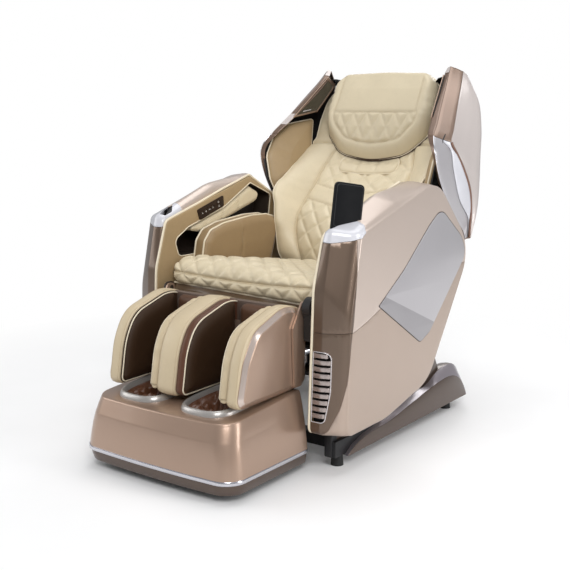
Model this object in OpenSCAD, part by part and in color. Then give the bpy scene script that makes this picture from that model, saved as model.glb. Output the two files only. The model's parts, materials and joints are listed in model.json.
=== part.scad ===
// Reclining massage chair on a sliding seat carriage.
// The sitter faces -Y, +X is the sitter's left, and Z is up from the floor.
// The origin is on the floor under the middle of the whole chair.

/* [Seat] */
// Clear width between the inner panels of the two arms
seat_w = 612; // [580:2:660]
// Distance from the knee hinge back to the hip hinge
seat_l = 585; // [550:5:680]
// Height of the knee hinge above the floor
knee_z = 500; // [490:1:520]
// Height of the hip hinge above the floor
hip_z = 420; // [400:1:440]
// Height of the underside of the seat cushion
cushion_z = 464; // [460:1:472]
// Thickness of the seat cushion at its front roll
cushion_t = 122; // [90:1:140]

/* [Arms] */
// Width of one arm, without its inner panel
arm_w = 104; // [90:1:120]
// Height of the highest point of an arm
arm_top_z = 848; // [800:1:900]
// Height of the bottom edge of an arm
arm_bottom_z = 132; // [120:1:150]
// Wall thickness of the arm shells
arm_wall = 5; // [4:0.5:7]
// Thickness of the padded inner panel
panel_t = 10; // [8:1:14]

/* [Backrest] */
// Lean of the backrest from upright in its rest position
back_tilt = 34; // [26:1:38]
// Length of the backrest above the hip hinge
back_h = 845; // [780:5:900]
// Width of the back cushion between the arms
back_cushion_w = 490; // [430:2:494]
// Depth of the back shell behind the line of the hip hinge
back_d = 252; // [220:1:270]
// Wall thickness of the back and wing shells
shell_t = 6; // [4:0.5:8]

/* [Leg rest] */
// Distance from the knee hinge forward to the front of the foot box
leg_reach = 377; // [350:1:420]
// Width over the calf side panels
calf_w = 524; // [480:2:540]
// Width of one calf channel
channel_w = 118; // [95:1:124]
// Height of the foot box above the floor
foot_h = 220; // [200:1:230]
// Width of the foot box at its foot
foot_w = 550; // [500:2:560]
// Depth of the foot box
foot_d = 350; // [330:1:352]

/* [Base] */
// Distance between the centres of the two base tubes
base_w = 670; // [640:2:690]
// How far the base tubes reach behind the hip hinge
base_rear = 255; // [235:5:350]
// Height of the rubber feet
feet_h = 34; // [25:1:40]
// Diameter of the rods that the seat carriage slides on
guide_d = 20; // [16:1:24]

/* [Controls] */
// Width of the handset
handset_w = 100; // [80:1:120]
// Thickness of the handset
handset_t = 13; // [10:0.5:16]
// Height of the handset
handset_h = 190; // [160:1:230]
// Depth of the pockets for the handset and the telephone
pocket_d = 58; // [45:1:75]

/* [Hidden] */
$fn = 40;

// Clearances
run_gap = 0.05;    // radial, a shaft in its bore
fit_gap = 0.3;     // between fixed pieces that sit side by side
soft_gap = 0.6;    // round a soft piece

// Anchor points along the chair, from the rearmost point of the backrest
back_reach = max([for (p = back_profile(0)) p[0] * cos(back_tilt) + p[1] * sin(back_tilt)]);
chair_l = leg_reach + seat_l + back_reach;
front_y = -chair_l / 2;
knee_y = front_y + leg_reach;
hip_y = knee_y + seat_l;

// ---------- outlines ----------

function unit(v) = v / norm(v);

// Points of one rounded corner of an outline. It is limited by its two edges.
function corner_points(before, at, after, radius, step) =
    let (u = unit(before - at),
         v = unit(after - at),
         half = acos(max(-1, u * v)) / 2,
         room = 0.48 * min(norm(before - at), norm(after - at)),
         r = min(radius, room * tan(half)),
         middle = at + unit(u + v) * r / sin(half),
         from = at + u * r / tan(half) - middle,
         to = at + v * r / tan(half) - middle,
         start = atan2(from[1], from[0]),
         sweep = atan2(from[0] * to[1] - from[1] * to[0], from * to),
         n = max(1, ceil(abs(sweep) / step)))
    half > 89 ? [at] : [for (k = [0:n]) middle + r * [cos(start + sweep * k / n), sin(start + sweep * k / n)]];

// Closed outline through corners given as [across, up, radius]
function rounded(corners, step = 12) =
    let (n = len(corners),
         p = [for (c = corners) [c[0], c[1]]])
    [for (i = [0:n - 1])
        each corner_points(p[(i + n - 1) % n], p[i], p[(i + 1) % n], corners[i][2], step)];

// A side outline, given along Y and Z, made solid from x0 to x1
module side_slab(outline, x0, x1, grow = 0)
    translate([x0, 0, 0]) rotate([90, 0, 90]) linear_extrude(x1 - x0)
        if (grow == 0) polygon(outline);
        else offset(delta = grow) polygon(outline);

// A front outline, given along X and Z, made solid from y0 to y1
module front_slab(outline, y0, y1)
    translate([0, y1, 0]) rotate([90, 0, 0]) linear_extrude(y1 - y0) polygon(outline);

// A plan outline, given along X and Y, made solid from z0 to z1
module plan_slab(outline, z0, z1)
    translate([0, 0, z0]) linear_extrude(z1 - z0) polygon(outline);

// A cylinder along X from x0 to x1
module bar_x(d, x0, x1, y, z)
    translate([x0, y, z]) rotate([0, 90, 0]) cylinder(d = d, h = x1 - x0);

// A cylinder along Y from y0 to y1
module bar_y(d, y0, y1, x, z)
    translate([x, y0, z]) rotate([-90, 0, 0]) cylinder(d = d, h = y1 - y0);

// A box given by its low and high corners
module block(low, high)
    translate(low) cube(high - low);

// The same piece on the left and on the right
module both_sides() {
    children();
    mirror([1, 0, 0]) children();
}

// The frame of the backrest: Y is depth behind the hip line, Z runs up the back
module on_back()
    translate([0, hip_y, hip_z]) rotate([-back_tilt, 0, 0]) children();

// ---------- base ----------

tube_w = 40;
tube_h = 50;
tube_wall = 3;
tube_x = base_w / 2;
tube_z0 = feet_h;
tube_z1 = tube_z0 + tube_h;
base_y0 = knee_y + 40;
base_y1 = hip_y + base_rear;
base_l = base_y1 - base_y0;
guide_x = 240;
guide_z = tube_z1 + 48;
cross_ys = [base_y0 + 90, base_y1 - 60];
wheel_d = 50;
wheel_y = base_y1 + 12;
wheel_z = tube_z0 + 16;
axle_d = 10;

module base_frame() color([0.13, 0.13, 0.14]) {
    bracket_w = 30;
    difference() {
        union() {
            both_sides() block([tube_x - tube_w / 2, base_y0, tube_z0], [tube_x + tube_w / 2, base_y1, tube_z1]);
            for (y = cross_ys)
                block([-tube_x, y - tube_w / 2, tube_z0], [tube_x, y + tube_w / 2, tube_z0 + tube_w]);
            for (y = cross_ys, s = [-1, 1])
                block([s * guide_x - bracket_w / 2, y - bracket_w / 2, tube_z0 + tube_w - 1],
                      [s * guide_x + bracket_w / 2, y + bracket_w / 2, guide_z + bracket_w / 2]);
            for (s = [-1, 1])
                block([s * 150 - 6, cross_ys[1], tube_z0], [s * 150 + 6, wheel_y + axle_d, tube_z0 + tube_w]);
        }
        both_sides() translate([tube_x - tube_w / 2 + tube_wall, base_y0 + tube_wall, tube_z0 + tube_wall])
            cube([tube_w - 2 * tube_wall, base_l - 2 * tube_wall, tube_h - 2 * tube_wall]);
        for (s = [-1, 1])
            bar_y(guide_d + 2 * run_gap, cross_ys[0] - tube_w, cross_ys[1] + tube_w, s * guide_x, guide_z);
        for (s = [-1, 1])
            bar_x(axle_d + 2 * run_gap, s * 150 - 10, s * 150 + 10, wheel_y, wheel_z);
    }
}

rail_x0 = tube_x - 34;
rail_x1 = tube_x + 37;
rail_z0 = 32;

// Side outline of a rail cover; lift raises its upper edge
function rail_front(lift) = rounded([
    [base_y0 + 28, rail_z0, 3], [base_y0 + 75, 56 + lift, 60], [base_y0 + 190, 72 + lift, 200],
    [base_y1 - 200, 114 + lift, 10], [base_y1 - 200, rail_z0, 1]]);
function rail_rear(lift) = rounded([
    [base_y1 - 240, rail_z0, 1], [base_y1 - 240, 96 + lift, 10], [base_y1 - 115, 133 + lift, 60],
    [base_y1, 126 + lift, 60], [base_y1 + 55, rail_z0 + 8, 8], [base_y1 + 45, rail_z0, 3]]);

module rail_covers() color([0.5, 0.42, 0.38]) both_sides() difference() {
    union() {
        hull() {
            side_slab(rail_front(6), rail_x0, rail_x1 - 32);
            side_slab(rail_front(0), rail_x1 - 4, rail_x1);
        }
        hull() {
            side_slab(rail_rear(26), rail_x0, rail_x1 - 32);
            side_slab(rail_rear(0), rail_x1 - 4, rail_x1);
        }
    }
    block([tube_x - tube_w / 2 - fit_gap, base_y0 - 20, 0],
          [tube_x + tube_w / 2 + fit_gap, base_y1 + fit_gap, tube_z1 + fit_gap]);
    for (y = cross_ys)
        block([rail_x0 - 10, y - tube_w / 2 - fit_gap, 0],
              [tube_x, y + tube_w / 2 + fit_gap, tube_z0 + tube_w + fit_gap]);
}

module base_feet() color([0.05, 0.05, 0.05]) both_sides()
    for (y = [base_y0 + 40, base_y1 - 40])
        translate([tube_x, y, 0]) cylinder(d1 = 40, d2 = 34, h = feet_h);

module guide_rods() color([0.75, 0.76, 0.78]) both_sides()
    bar_y(guide_d, cross_ys[0] - 18, cross_ys[1] + 18, guide_x, guide_z);

box_x0 = -150;
box_x1 = 20;
box_y1 = base_y1 + 40;
box_z0 = tube_z0 + tube_w + fit_gap;
box_z1 = box_z0 + 58;
inlet_x = -105;
switch_x = -30;
socket_z = (box_z0 + box_z1) / 2;

module power_box() color([0.08, 0.08, 0.09]) {
    inlet_w = 28;
    inlet_h = 20;
    inlet_d = 15;
    pin_w = 4;
    pin_t = 2;
    difference() {
        block([box_x0, cross_ys[1] - 20, box_z0], [box_x1, box_y1, box_z1]);
        block([inlet_x - inlet_w / 2, box_y1 - inlet_d, socket_z - inlet_h / 2],
              [inlet_x + inlet_w / 2, box_y1 + 1, socket_z + inlet_h / 2]);
        translate([switch_x - rocker_w / 2 - fit_gap, box_y1 - 14, socket_z - 12])
            cube([rocker_w + 2 * fit_gap, 15, 24]);
        bar_x(4 + 2 * run_gap, switch_x - rocker_w / 2 - 4, switch_x + rocker_w / 2 + 4, rocker_y, socket_z);
    }
    for (pin = [[-7, -3], [7, -3], [0, 4]])
        block([inlet_x + pin[0] - pin_t / 2, box_y1 - inlet_d - 1, socket_z + pin[1] - pin_w / 2],
              [inlet_x + pin[0] + pin_t / 2, box_y1 - 3, socket_z + pin[1] + pin_w / 2]);
}

rocker_w = 15;
rocker_r = 10;
rocker_y = box_y1 - 6;

module power_switch() color([0.6, 0.08, 0.06]) {
    bar_x(4, switch_x - rocker_w / 2 - 3.5, switch_x + rocker_w / 2 + 3.5, rocker_y, socket_z);
    intersection() {
        bar_x(2 * rocker_r, switch_x - rocker_w / 2, switch_x + rocker_w / 2, rocker_y, socket_z);
        block([switch_x - rocker_w, rocker_y - 5, socket_z - rocker_r], [switch_x + rocker_w, rocker_y + 9, socket_z + rocker_r]);
    }
}

module transport_wheels() color([0.1, 0.1, 0.1]) {
    bar_x(axle_d, -168, 168, wheel_y, wheel_z);
    for (s = [-1, 1])
        bar_x(wheel_d, s * 178 - 12, s * 178 + 12, wheel_y, wheel_z);
}

// ---------- seat carriage ----------

hw = seat_w / 2;
calf_x = calf_w / 2;
hinge_x0 = calf_x + 1;            // hinge plates of the leg rest
hinge_x1 = hinge_x0 + 6;
plate_x0 = hinge_x1 + 3;          // side plates of the seat frame
plate_x1 = plate_x0 + 6;
knee_pin_d = 16;
hip_pin_d = 20;
shoe_l = 60;
shoe_ys = [knee_y + 272, hip_y + 30];
slide_travel = 120;
deck_z = cushion_z - soft_gap;
deck_x = hw - 28;                  // half width of the plate under the cushions

module seat_frame() color([0.13, 0.13, 0.14]) {
    shoe_w = 34;
    spacer_zs = [[knee_y + 60, 400], [hip_y - 130, 260], [hip_y + 20, 470]];
    difference() {
        union() {
            both_sides() {
                side_slab(rounded([
                    [knee_y - 22, knee_z - 18, 18], [knee_y - 22, knee_z + 18, 18], [knee_y + 20, knee_z + 18, 14],
                    [knee_y + 33, deck_z - 1, 6], [hip_y - 60, deck_z, 30], [hip_y - 20, hip_z + 34, 30],
                    [hip_y + 34, hip_z + 34, 30], [hip_y + 90, guide_z + 24, 15], [hip_y + 20, guide_z + 24, 10],
                    [knee_y + 240, guide_z + 24, 10], [knee_y + 60, 330, 60]]), plate_x0, plate_x1);
                for (y = shoe_ys)
                    block([guide_x - shoe_w / 2, y, guide_z - shoe_w / 2],
                          [plate_x1, y + shoe_l, guide_z + shoe_w / 2 + 16]);
                for (s = spacer_zs)
                    block([plate_x1 - 1, s[0] - 20, s[1] - 20], [hw, s[0] + 20, s[1] + 20]);
                bar_x(knee_pin_d, hinge_x0 - 0.4, plate_x0 + 1, knee_y, knee_z);
                bar_x(hip_pin_d, hinge_x0 - 14, plate_x0 + 1, hip_y, hip_z);
            }
            for (y = seat_tube_ys)
                bar_x(30, -plate_x1, plate_x1, y, seat_tube_z);
            block([-20, seat_tube_ys[0] - 8, seat_tube_z], [20, seat_tube_ys[0] + 8, pin_z - actuator_d / 2 - fit_gap]);
            block([-deck_x, knee_y + 62, deck_z - 6], [deck_x, hip_y - 90, deck_z]);
        }
        for (s = [-1, 1])
            bar_y(guide_d + 2 * run_gap, shoe_ys[0] - 1, shoe_ys[1] + shoe_l + 1, s * guide_x, guide_z);
    }
}

seat_front_y = knee_y + 37;
seat_rear_y = hip_y - 66;
seat_top_z = cushion_z + cushion_t;
hip_pad_t = 54;
hip_pad_y0 = knee_y + 163;

module seat_cushion() color([0.87, 0.82, 0.70]) intersection() {
    side_slab(rounded([
        [seat_front_y + 8, cushion_z, 8], [seat_front_y, seat_top_z - 34, 40], [seat_front_y + 66, seat_top_z + 8, 70],
        [seat_front_y + 260, seat_top_z - 14, 150], [seat_rear_y, cushion_z + 72, 30], [seat_rear_y, cushion_z, 8]]),
        -hw, hw);
    plan_slab(rounded([
        [-hw + 8, seat_front_y - 1, 20], [hw - 8, seat_front_y - 1, 20], [hw - 8, hip_pad_y0 - 6, 12],
        [hw - hip_pad_t - 3, hip_pad_y0 - 6, 12], [hw - hip_pad_t - 3, seat_rear_y + 1, 20],
        [-hw + hip_pad_t + 3, seat_rear_y + 1, 20], [-hw + hip_pad_t + 3, hip_pad_y0 - 6, 12],
        [-hw + 8, hip_pad_y0 - 6, 12]]), 0, arm_top_z);
}

module seat_apron() color([0.34, 0.27, 0.2])
    side_slab(rounded([
        [seat_front_y - 12, cushion_z - 22, 3], [seat_front_y - 7, cushion_z + 36, 2],
        [seat_front_y - 1, cushion_z + 36, 2], [seat_front_y - 1, deck_z, 1], [seat_front_y + 24, deck_z, 1],
        [seat_front_y + 24, deck_z - 6, 1], [seat_front_y + 3, deck_z - 6, 2], [seat_front_y, cushion_z - 22, 2]]),
        -plate_x0 + 2, plate_x0 - 2);

// ---------- arms (the left one; the right one is its mirror) ----------

arm_x0 = hw + panel_t + fit_gap;
arm_x1 = arm_x0 + arm_w;
facet_x = arm_x0 + 48;             // outer edge of the flat facet on the front
inlay_t = 2.5;
crown_y = hip_y - 60;              // where the top of an arm is highest

// Outline of the inner part of an arm
arm_ridge = rounded([
    [knee_y - 40, arm_bottom_z + 8, 25], [knee_y - 30, 500, 250], [knee_y + 30, arm_top_z - 100, 15],
    [knee_y + 275, arm_top_z - 20, 300], [hip_y + 10, arm_top_z + 2, 80], [hip_y + 140, arm_top_z - 208, 80],
    [hip_y - 90, arm_bottom_z + 68, 120], [hip_y - 350, arm_bottom_z, 300]]);

// Outline of the outer face of an arm
arm_side = rounded([
    [knee_y + 5, arm_bottom_z + 6, 30], [knee_y + 19, 470, 300], [knee_y + 75, arm_top_z - 133, 20],
    [hip_y - 45, arm_top_z, 140], [hip_y + 215, arm_top_z - 248, 120],
    [hip_y - 75, arm_bottom_z + 53, 150], [hip_y - 350, arm_bottom_z, 300]]);

// The whole outer form of the left arm, drawn in by inset on its outer side
module arm_form(inset) hull() {
    side_slab(arm_ridge, arm_x0 - (inset > 0 ? 1 : 0), facet_x, -inset);
    side_slab(arm_side, arm_x1 - 12, arm_x1 - inlay_t - inset, -inset);
}

// Where the outer face is split from the front column
function column_edge(z0, z1) = [
    [knee_y - 90, z0], [knee_y + 24, z0], [knee_y + 36, 470], [knee_y + 92, z1], [knee_y - 90, z1]];

// The seam between the upper and the lower shell, as the region above it
upper_region = [
    [knee_y - 90, 430], [knee_y + 40, 434], [knee_y + 110, 452], [knee_y + 195, 483],
    [knee_y + 400, 500], [hip_y + 300, 575], [hip_y + 300, 1000], [knee_y - 90, 1000]];

// The cap on the front end of the arm, which holds a pocket
cap_y1 = knee_y + 150;
cap_region = [
    [knee_y - 90, arm_top_z - 176], [knee_y + 110, arm_top_z - 136], [cap_y1, arm_top_z - 110],
    [cap_y1, 1000], [knee_y - 90, 1000]];

// Opening for the forearm in the inner panel
channel_outline = rounded([
    [knee_y + 82, 586, 18], [knee_y + 82, 640, 18], [knee_y + 170, 668, 20], [hip_y - 70, arm_top_z - 44, 20],
    [hip_y + 14, arm_top_z - 84, 20], [hip_y - 20, 586, 18]]);
channel_x1 = arm_x1 - 26;

module arm_wall_form() difference() {
    arm_form(0);
    arm_form(arm_wall);
}

module arm_upper_shell() difference() {
    intersection() {
        arm_wall_form();
        side_slab(upper_region, arm_x0 - 1, arm_x1 + 1);
    }
    side_slab(column_edge(0, 1000), arm_x0 - 2, arm_x1 + 2);
    side_slab(cap_region, arm_x0 - 2, arm_x1 + 2, fit_gap);
}

module arm_upper_shell_left() color([0.75, 0.68, 0.62]) arm_upper_shell();

module arm_upper_shell_right() color([0.75, 0.68, 0.62]) mirror([1, 0, 0]) arm_upper_shell();

module arm_lower_shells() color([0.75, 0.68, 0.62]) both_sides() difference() {
    arm_wall_form();
    side_slab(upper_region, arm_x0 - 2, arm_x1 + 1, fit_gap);
    side_slab(column_edge(0, 1000), arm_x0 - 2, arm_x1 + 2);
}

module arm_inlays() color([0.72, 0.72, 0.75]) both_sides()
    side_slab(rounded([
        [knee_y + 185, 486, 3], [knee_y + 443, 330, 10], [knee_y + 500, 350, 25], [hip_y + 185, 575, 60],
        [hip_y + 140, 655, 120], [hip_y - 5, arm_top_z - 98, 35], [hip_y - 60, arm_top_z - 130, 120],
        [knee_y + 300, 553, 400]]),
        arm_x1 - inlay_t, arm_x1);

module front_columns() color([0.5, 0.42, 0.38]) both_sides() {
    difference() {
        intersection() {
            arm_wall_form();
            side_slab(column_edge(0, 1000), arm_x0 - 1, arm_x1 + 1, -fit_gap);
            side_slab(upper_region, arm_x0 - 1, arm_x1 + 1);
        }
        side_slab(cap_region, arm_x0 - 2, arm_x1 + 2, fit_gap);
    }
    difference() {
        intersection() {
            arm_wall_form();
            side_slab(column_edge(0, 1000), arm_x0 - 1, arm_x1 + 1, -fit_gap);
        }
        side_slab(upper_region, arm_x0 - 2, arm_x1 + 2, fit_gap);
        block([vent_x0 + 4, knee_y - 90, vent_z0 + 4], [vent_x1 - 4, knee_y + 40, vent_z1 - 4]);
    }
}

vent_x0 = arm_x0 + 2;
vent_x1 = facet_x - 2;
vent_z0 = 158;
vent_z1 = 392;
vent_slats = 10;
vent_t = 4;

module vent_grilles() color([0.3, 0.27, 0.28]) both_sides() {
    lean = atan(10 / (500 - arm_bottom_z - 6));
    pitch = (vent_z1 - vent_z0 - 8) / vent_slats;
    translate([0, knee_y - 40, arm_bottom_z + 6]) rotate([-lean, 0, 0]) translate([0, -vent_t - fit_gap, -arm_bottom_z - 6]) {
        difference() {
            block([vent_x0, 0, vent_z0], [vent_x1, vent_t, vent_z1]);
            block([vent_x0 + 4, -1, vent_z0 + 4], [vent_x1 - 4, vent_t + 1, vent_z1 - 4]);
        }
        for (k = [0:vent_slats - 1])
            block([vent_x0 + 3.5, 0.5, vent_z0 + 8 + k * pitch],
                  [vent_x1 - 3.5, vent_t - 0.5, vent_z0 + k * pitch + pitch]);
    }
}

// The inner panel of an arm with the trough that the forearm lies in
module arm_inner_panel() {
    trough_t = 4;
    difference() {
        union() {
            side_slab(rounded([
                [knee_y - 40, arm_bottom_z + 14, 20], [knee_y - 30, 500, 250], [knee_y + 21, arm_top_z - 144, 18],
                [knee_y + 300, arm_top_z - 56, 400], [hip_y - 100, arm_top_z - 28, 12], [hip_y + 40, arm_top_z - 110, 10],
                [hip_y + 110, arm_top_z - 248, 60], [hip_y - 80, arm_bottom_z + 60, 150],
                [hip_y - 350, arm_bottom_z + 8, 300]]),
                hw, hw + panel_t);
            side_slab(channel_outline, hw, channel_x1, trough_t);
        }
        side_slab(channel_outline, hw - 1, channel_x1 - trough_t);
        side_slab(panel_pocket, hw - 1, hw + 6);
    }
}

module arm_inner_panel_left() color([0.66, 0.57, 0.44]) arm_inner_panel();

module arm_inner_panel_right() color([0.66, 0.57, 0.44]) mirror([1, 0, 0]) arm_inner_panel();

module forearm_pads() color([0.87, 0.82, 0.70]) both_sides()
    side_slab(rounded([
        [knee_y + 186, 672, 8], [hip_y - 72, arm_top_z - 48, 16], [hip_y + 6, arm_top_z - 84, 24],
        [hip_y - 50, arm_top_z - 122, 20], [knee_y + 232, 652, 12]]),
        hw + soft_gap, channel_x1 - 4 - soft_gap);

module hip_cushions() color([0.66, 0.57, 0.44]) both_sides()
    side_slab(rounded([
        [hip_pad_y0 + 4, cushion_z, 8], [hip_pad_y0 + 16, 654, 32], [hip_y - 14, 690, 26],
        [hip_y - 62, cushion_z, 10]]),
        hw - hip_pad_t, hw - soft_gap);

// ---------- pockets, handset and keys ----------

pocket_lean = 10;
pocket_turn = 26;
pocket_at = [arm_x0 + 38, knee_y + 32 + handset_w / 2, arm_top_z - 118];

// The frame of the pocket in the left cap, with its mouth at Z = 0
module in_pocket()
    translate(pocket_at) rotate([-pocket_lean, 0, 0]) rotate([0, 0, -pocket_turn]) children();

module arm_cap() {
    mouth_t = handset_t + 4;
    mouth_w = handset_w + 4;
    difference() {
        union() {
            intersection() {
                arm_form(0);
                side_slab(cap_region, arm_x0 - 1, arm_x1 + 1);
            }
            intersection() {
                in_pocket() translate([-mouth_t / 2 - 3, -mouth_w / 2 - 3, -pocket_d - 3])
                    cube([mouth_t + 6, mouth_w + 6, pocket_d]);
                arm_form(arm_wall + 1);
            }
        }
        in_pocket() translate([-mouth_t / 2, -mouth_w / 2, -pocket_d]) cube([mouth_t, mouth_w, pocket_d + 80]);
    }
}

module remote_dock() color([0.86, 0.86, 0.88]) arm_cap();

module phone_pocket() color([0.86, 0.86, 0.88]) mirror([1, 0, 0]) arm_cap();

module remote_handset() color([0.03, 0.03, 0.04])
    in_pocket() translate([0, 0, -pocket_d + fit_gap]) rotate([90, 0, 90]) translate([0, 0, -handset_t / 2])
        linear_extrude(handset_t) polygon(rounded([
            [-handset_w / 2, 0, 14], [handset_w / 2, 0, 14], [handset_w / 2, handset_h, 14], [-handset_w / 2, handset_h, 14]]));

panel_slope = 16.8;
panel_l = 142;
panel_h = 36;
panel_plate_t = 3;
panel_y = knee_y + 247;
panel_z = arm_top_z - 112;
key_h = 8;
key_w = 13;
round_d = 9;
mode_ys = [-46, -27, -8, 11];
round_zs = [7.5, -7.5];
round_y = 44;

// Pocket behind the control panel, in the inner face of the right arm
panel_pocket = [for (c = rounded([
    [-panel_l / 2 + 6, -panel_h / 2 + 4, 3], [panel_l / 2 - 6, -panel_h / 2 + 4, 3],
    [panel_l / 2 - 6, panel_h / 2 - 4, 3], [-panel_l / 2 + 6, panel_h / 2 - 4, 3]]))
    [panel_y + c[0] * cos(panel_slope) - c[1] * sin(panel_slope),
     panel_z + c[0] * sin(panel_slope) + c[1] * cos(panel_slope)]];

// The frame of the control panel: X points at the sitter, Y along the panel
module on_panel()
    translate([-hw, panel_y, panel_z]) rotate([panel_slope, 0, 0]) children();

module control_panel() color([0.12, 0.08, 0.07]) on_panel() difference() {
    side_slab(rounded([
        [-panel_l / 2 + 2, -panel_h / 2, 3], [panel_l / 2, -panel_h / 2, 3],
        [panel_l / 2 - 2, panel_h / 2, 3], [-panel_l / 2, panel_h / 2, 3]]), 0, panel_plate_t);
    for (y = mode_ys)
        block([-1, y - key_w / 2 - fit_gap, -key_h / 2 - fit_gap],
              [panel_plate_t + 1, y + key_w / 2 + fit_gap, key_h / 2 + fit_gap]);
    for (z = round_zs)
        bar_x(round_d + 2 * fit_gap, -1, panel_plate_t + 1, round_y, z);
}

module mode_key(k) color([0.75, 0.72, 0.7]) on_panel()
    block([-2, mode_ys[k] - key_w / 2, -key_h / 2], [panel_plate_t + 1, mode_ys[k] + key_w / 2, key_h / 2]);

module mode_key_1() mode_key(0);

module mode_key_2() mode_key(1);

module mode_key_3() mode_key(2);

module mode_key_4() mode_key(3);

module round_key(k) color([0.85, 0.85, 0.86]) on_panel()
    bar_x(round_d, -2, panel_plate_t + 1.5, round_y, round_zs[k]);

module round_key_upper() round_key(0);

module round_key_lower() round_key(1);

// ---------- backrest, in its own frame ----------

// Side outline of the back shell, drawn in by d at its rear
function back_profile(d) = rounded([
    [45, 6, 4], [205 - d, 40 + d, 90], [back_d + 6 - d, 300, 150], [back_d - 14 - d, 0.72 * back_h, 200],
    [105 - d, back_h - 8 - d, 110], [-55, back_h - 14 - d, 4], [-55, 150, 3], [45, 118, 3]]);

// Side outline of the shoulders of the back shell, where it is widest
function shoulder_profile(d) = rounded([
    [20, 345, 4], [130, 335 + d, 30], [200 - d, 400, 60], [170 - d, 600, 120], [60, 0.89 * back_h - d, 90],
    [-30, 0.84 * back_h, 30]]);

shell_x0 = plate_x0 - 10;          // half width of the shell between the arms
shell_x1 = hw + 46;                // half width of the shell behind the arms
wing_x1 = hw + 92;
cushion_rear = -60;
tube_y0 = cushion_rear + soft_gap;
back_tube = 30;
back_tube_x = 205;
back_roof = back_h - 20;           // inner side of the top of the back shell
hip_tube_d = 26;

// The outer form of the back shell, drawn in by d
module back_form(d, front = 0) {
    side_slab(back_profile(d), -shell_x0 + d, shell_x0 - d, front);
    hull() {
        side_slab([for (p = back_profile(d)) if (p[1] > 330) p], -shell_x0 + d, shell_x0 - d, front);
        side_slab(shoulder_profile(d), -shell_x1 + d, shell_x1 - d, front);
    }
}

module back_shell() color([0.42, 0.36, 0.32]) on_back() difference() {
    back_form(0);
    intersection() {
        translate([0, -2, 0]) back_form(shell_t);
        block([-400, -60, 0], [400, 400, back_roof]);
    }
    block([-shell_x0 + shell_t, -60, 155], [shell_x0 - shell_t, 60, back_h - 24]);
    block([-shell_x0 + shell_t, -60, back_h - 60], [shell_x0 - shell_t, -50, back_roof]);
    block([-shell_x0 + shell_t, 30, 0], [shell_x0 - shell_t, 60, 200]);
    block([-shell_x0 + shell_t, 30, 0], [shell_x0 - shell_t, 150, 12]);
}

// The lever that the recline drive pulls on, with its slot
lever_h = 113;
recline_range = 50;
lever_a = back_tilt + recline_range / 2;
rod_pin_d = 10;
slot_gap = 1.8;
pin_z = hip_z - lever_h;
pin_y = hip_y + lever_h * tan(recline_range / 2);
track_d = 16;
track_x = 170;
track_z0 = 78;
track_z1 = back_h - 56;

module back_frame() color([0.13, 0.13, 0.14]) on_back() difference() {
    union() {
        both_sides() {
            block([back_tube_x, tube_y0, 32], [back_tube_x + back_tube, tube_y0 + back_tube, back_roof - fit_gap]);
            side_slab([[-13, -13], [13, -13], [13, 20], [-20, 62], [tube_y0, 62], [tube_y0, 34]],
                back_tube_x, back_tube_x + back_tube);
            translate([track_x, 0, track_z0 - 20]) cylinder(d = track_d, h = track_z1 - track_z0 + 40);
        }
        for (z = [track_z0 - 24, track_z1])
            block([-back_tube_x - 1, tube_y0, z], [back_tube_x + 1, 14, z + 24]);
        bar_x(hip_tube_d, -hinge_x0 + 2, hinge_x0 - 2, 0, 0);
        rotate([lever_a, 0, 0])
            block([-5, -14, -lever_h - 30], [5, 14, 0]);
    }
    both_sides() bar_x(hip_pin_d + 2 * run_gap, hinge_x0 - 20, hinge_x0, 0, 0);
    rotate([lever_a, 0, 0]) hull() for (r = [lever_h - 4, lever_h / cos(recline_range / 2) + 4])
        bar_x(rod_pin_d + 2 * slot_gap, -6, 6, 0, -r);
}

// Outlines of a wing: at its inner edge, and at its outer edge, drawn in by d
function wing_inner(d) = rounded([
    [-190 + d, back_h + 6 - d, 30], [-250 + d, 530, 100], [-262 + d, 410, 60], [-100, 338 + d, 150],
    [100, 290 + d, 25], [130 - d, 420, 200], [50 - d, 0.8 * back_h, 150], [-62 - d, back_h - 5 - d, 100]]);
function wing_outer(d) = rounded([
    [-150 + d, 0.86 * back_h - d, 60], [-215 + d, 520, 90], [-236 + d, 420, 60], [-95, 356 + d, 120],
    [88, 304 + d, 20], [104 - d, 400, 150], [40 - d, 0.72 * back_h, 150], [-90 - d, 0.88 * back_h - d, 60]]);
function wing_apex(d) = rounded([
    [-186 + d, back_h - 1 - d, 20], [-205 + d, 0.92 * back_h, 40], [-150, 0.86 * back_h + d, 60],
    [-75 - d, back_h - 20 - d, 40]]);

wing_x0 = hw - 14;
wing_apex_x = hw - 44;

module wing_form(d) hull() {
    open = d > 0 ? 1 : 0;
    side_slab(wing_apex(d), wing_apex_x - open, wing_apex_x + 14);
    side_slab(wing_inner(d), wing_x0 - open, wing_x0 + 48);
    side_slab(wing_outer(d), wing_x1 - 12, wing_x1 - d);
}

// The speaker grille stands behind the strip, in the inner side of a wing
strip_w = 14;
strip_z0 = 500;
function strip_rear(z) = -254 + strip_w + 58 * (z - strip_z0) / (back_h - 12 - strip_z0);
grille_x = wing_x0 - 4;
grille_outline = rounded([
    [strip_rear(back_h - 60) + 0.8, back_h - 60, 8], [strip_rear(590) + 0.8, 590, 10], [-135, 680, 10]]);

// The strip along the front edge of a wing
module strip_form(grow) hull() {
    block([wing_apex_x - 1 - grow, -196 - grow, back_h - 12], [wing_apex_x + 20 + grow, -196 + strip_w + grow, back_h + 4]);
    block([wing_x0 + 30 - grow, -254 - grow, strip_z0 - grow], [wing_x0 + 58 + grow, -254 + strip_w + grow, strip_z0 + 16]);
}
// The part of a wing that its inlay covers, and the space for the back shell
inlay_region = [[-300, 395], [-196, 395], [-196, 498], [-300, 498]];

module wing_walls() difference() {
    wing_form(0);
    wing_form(shell_t);
    block([0, -56, 300], [shell_x1 + fit_gap, 200, back_h + 40]);
}

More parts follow.
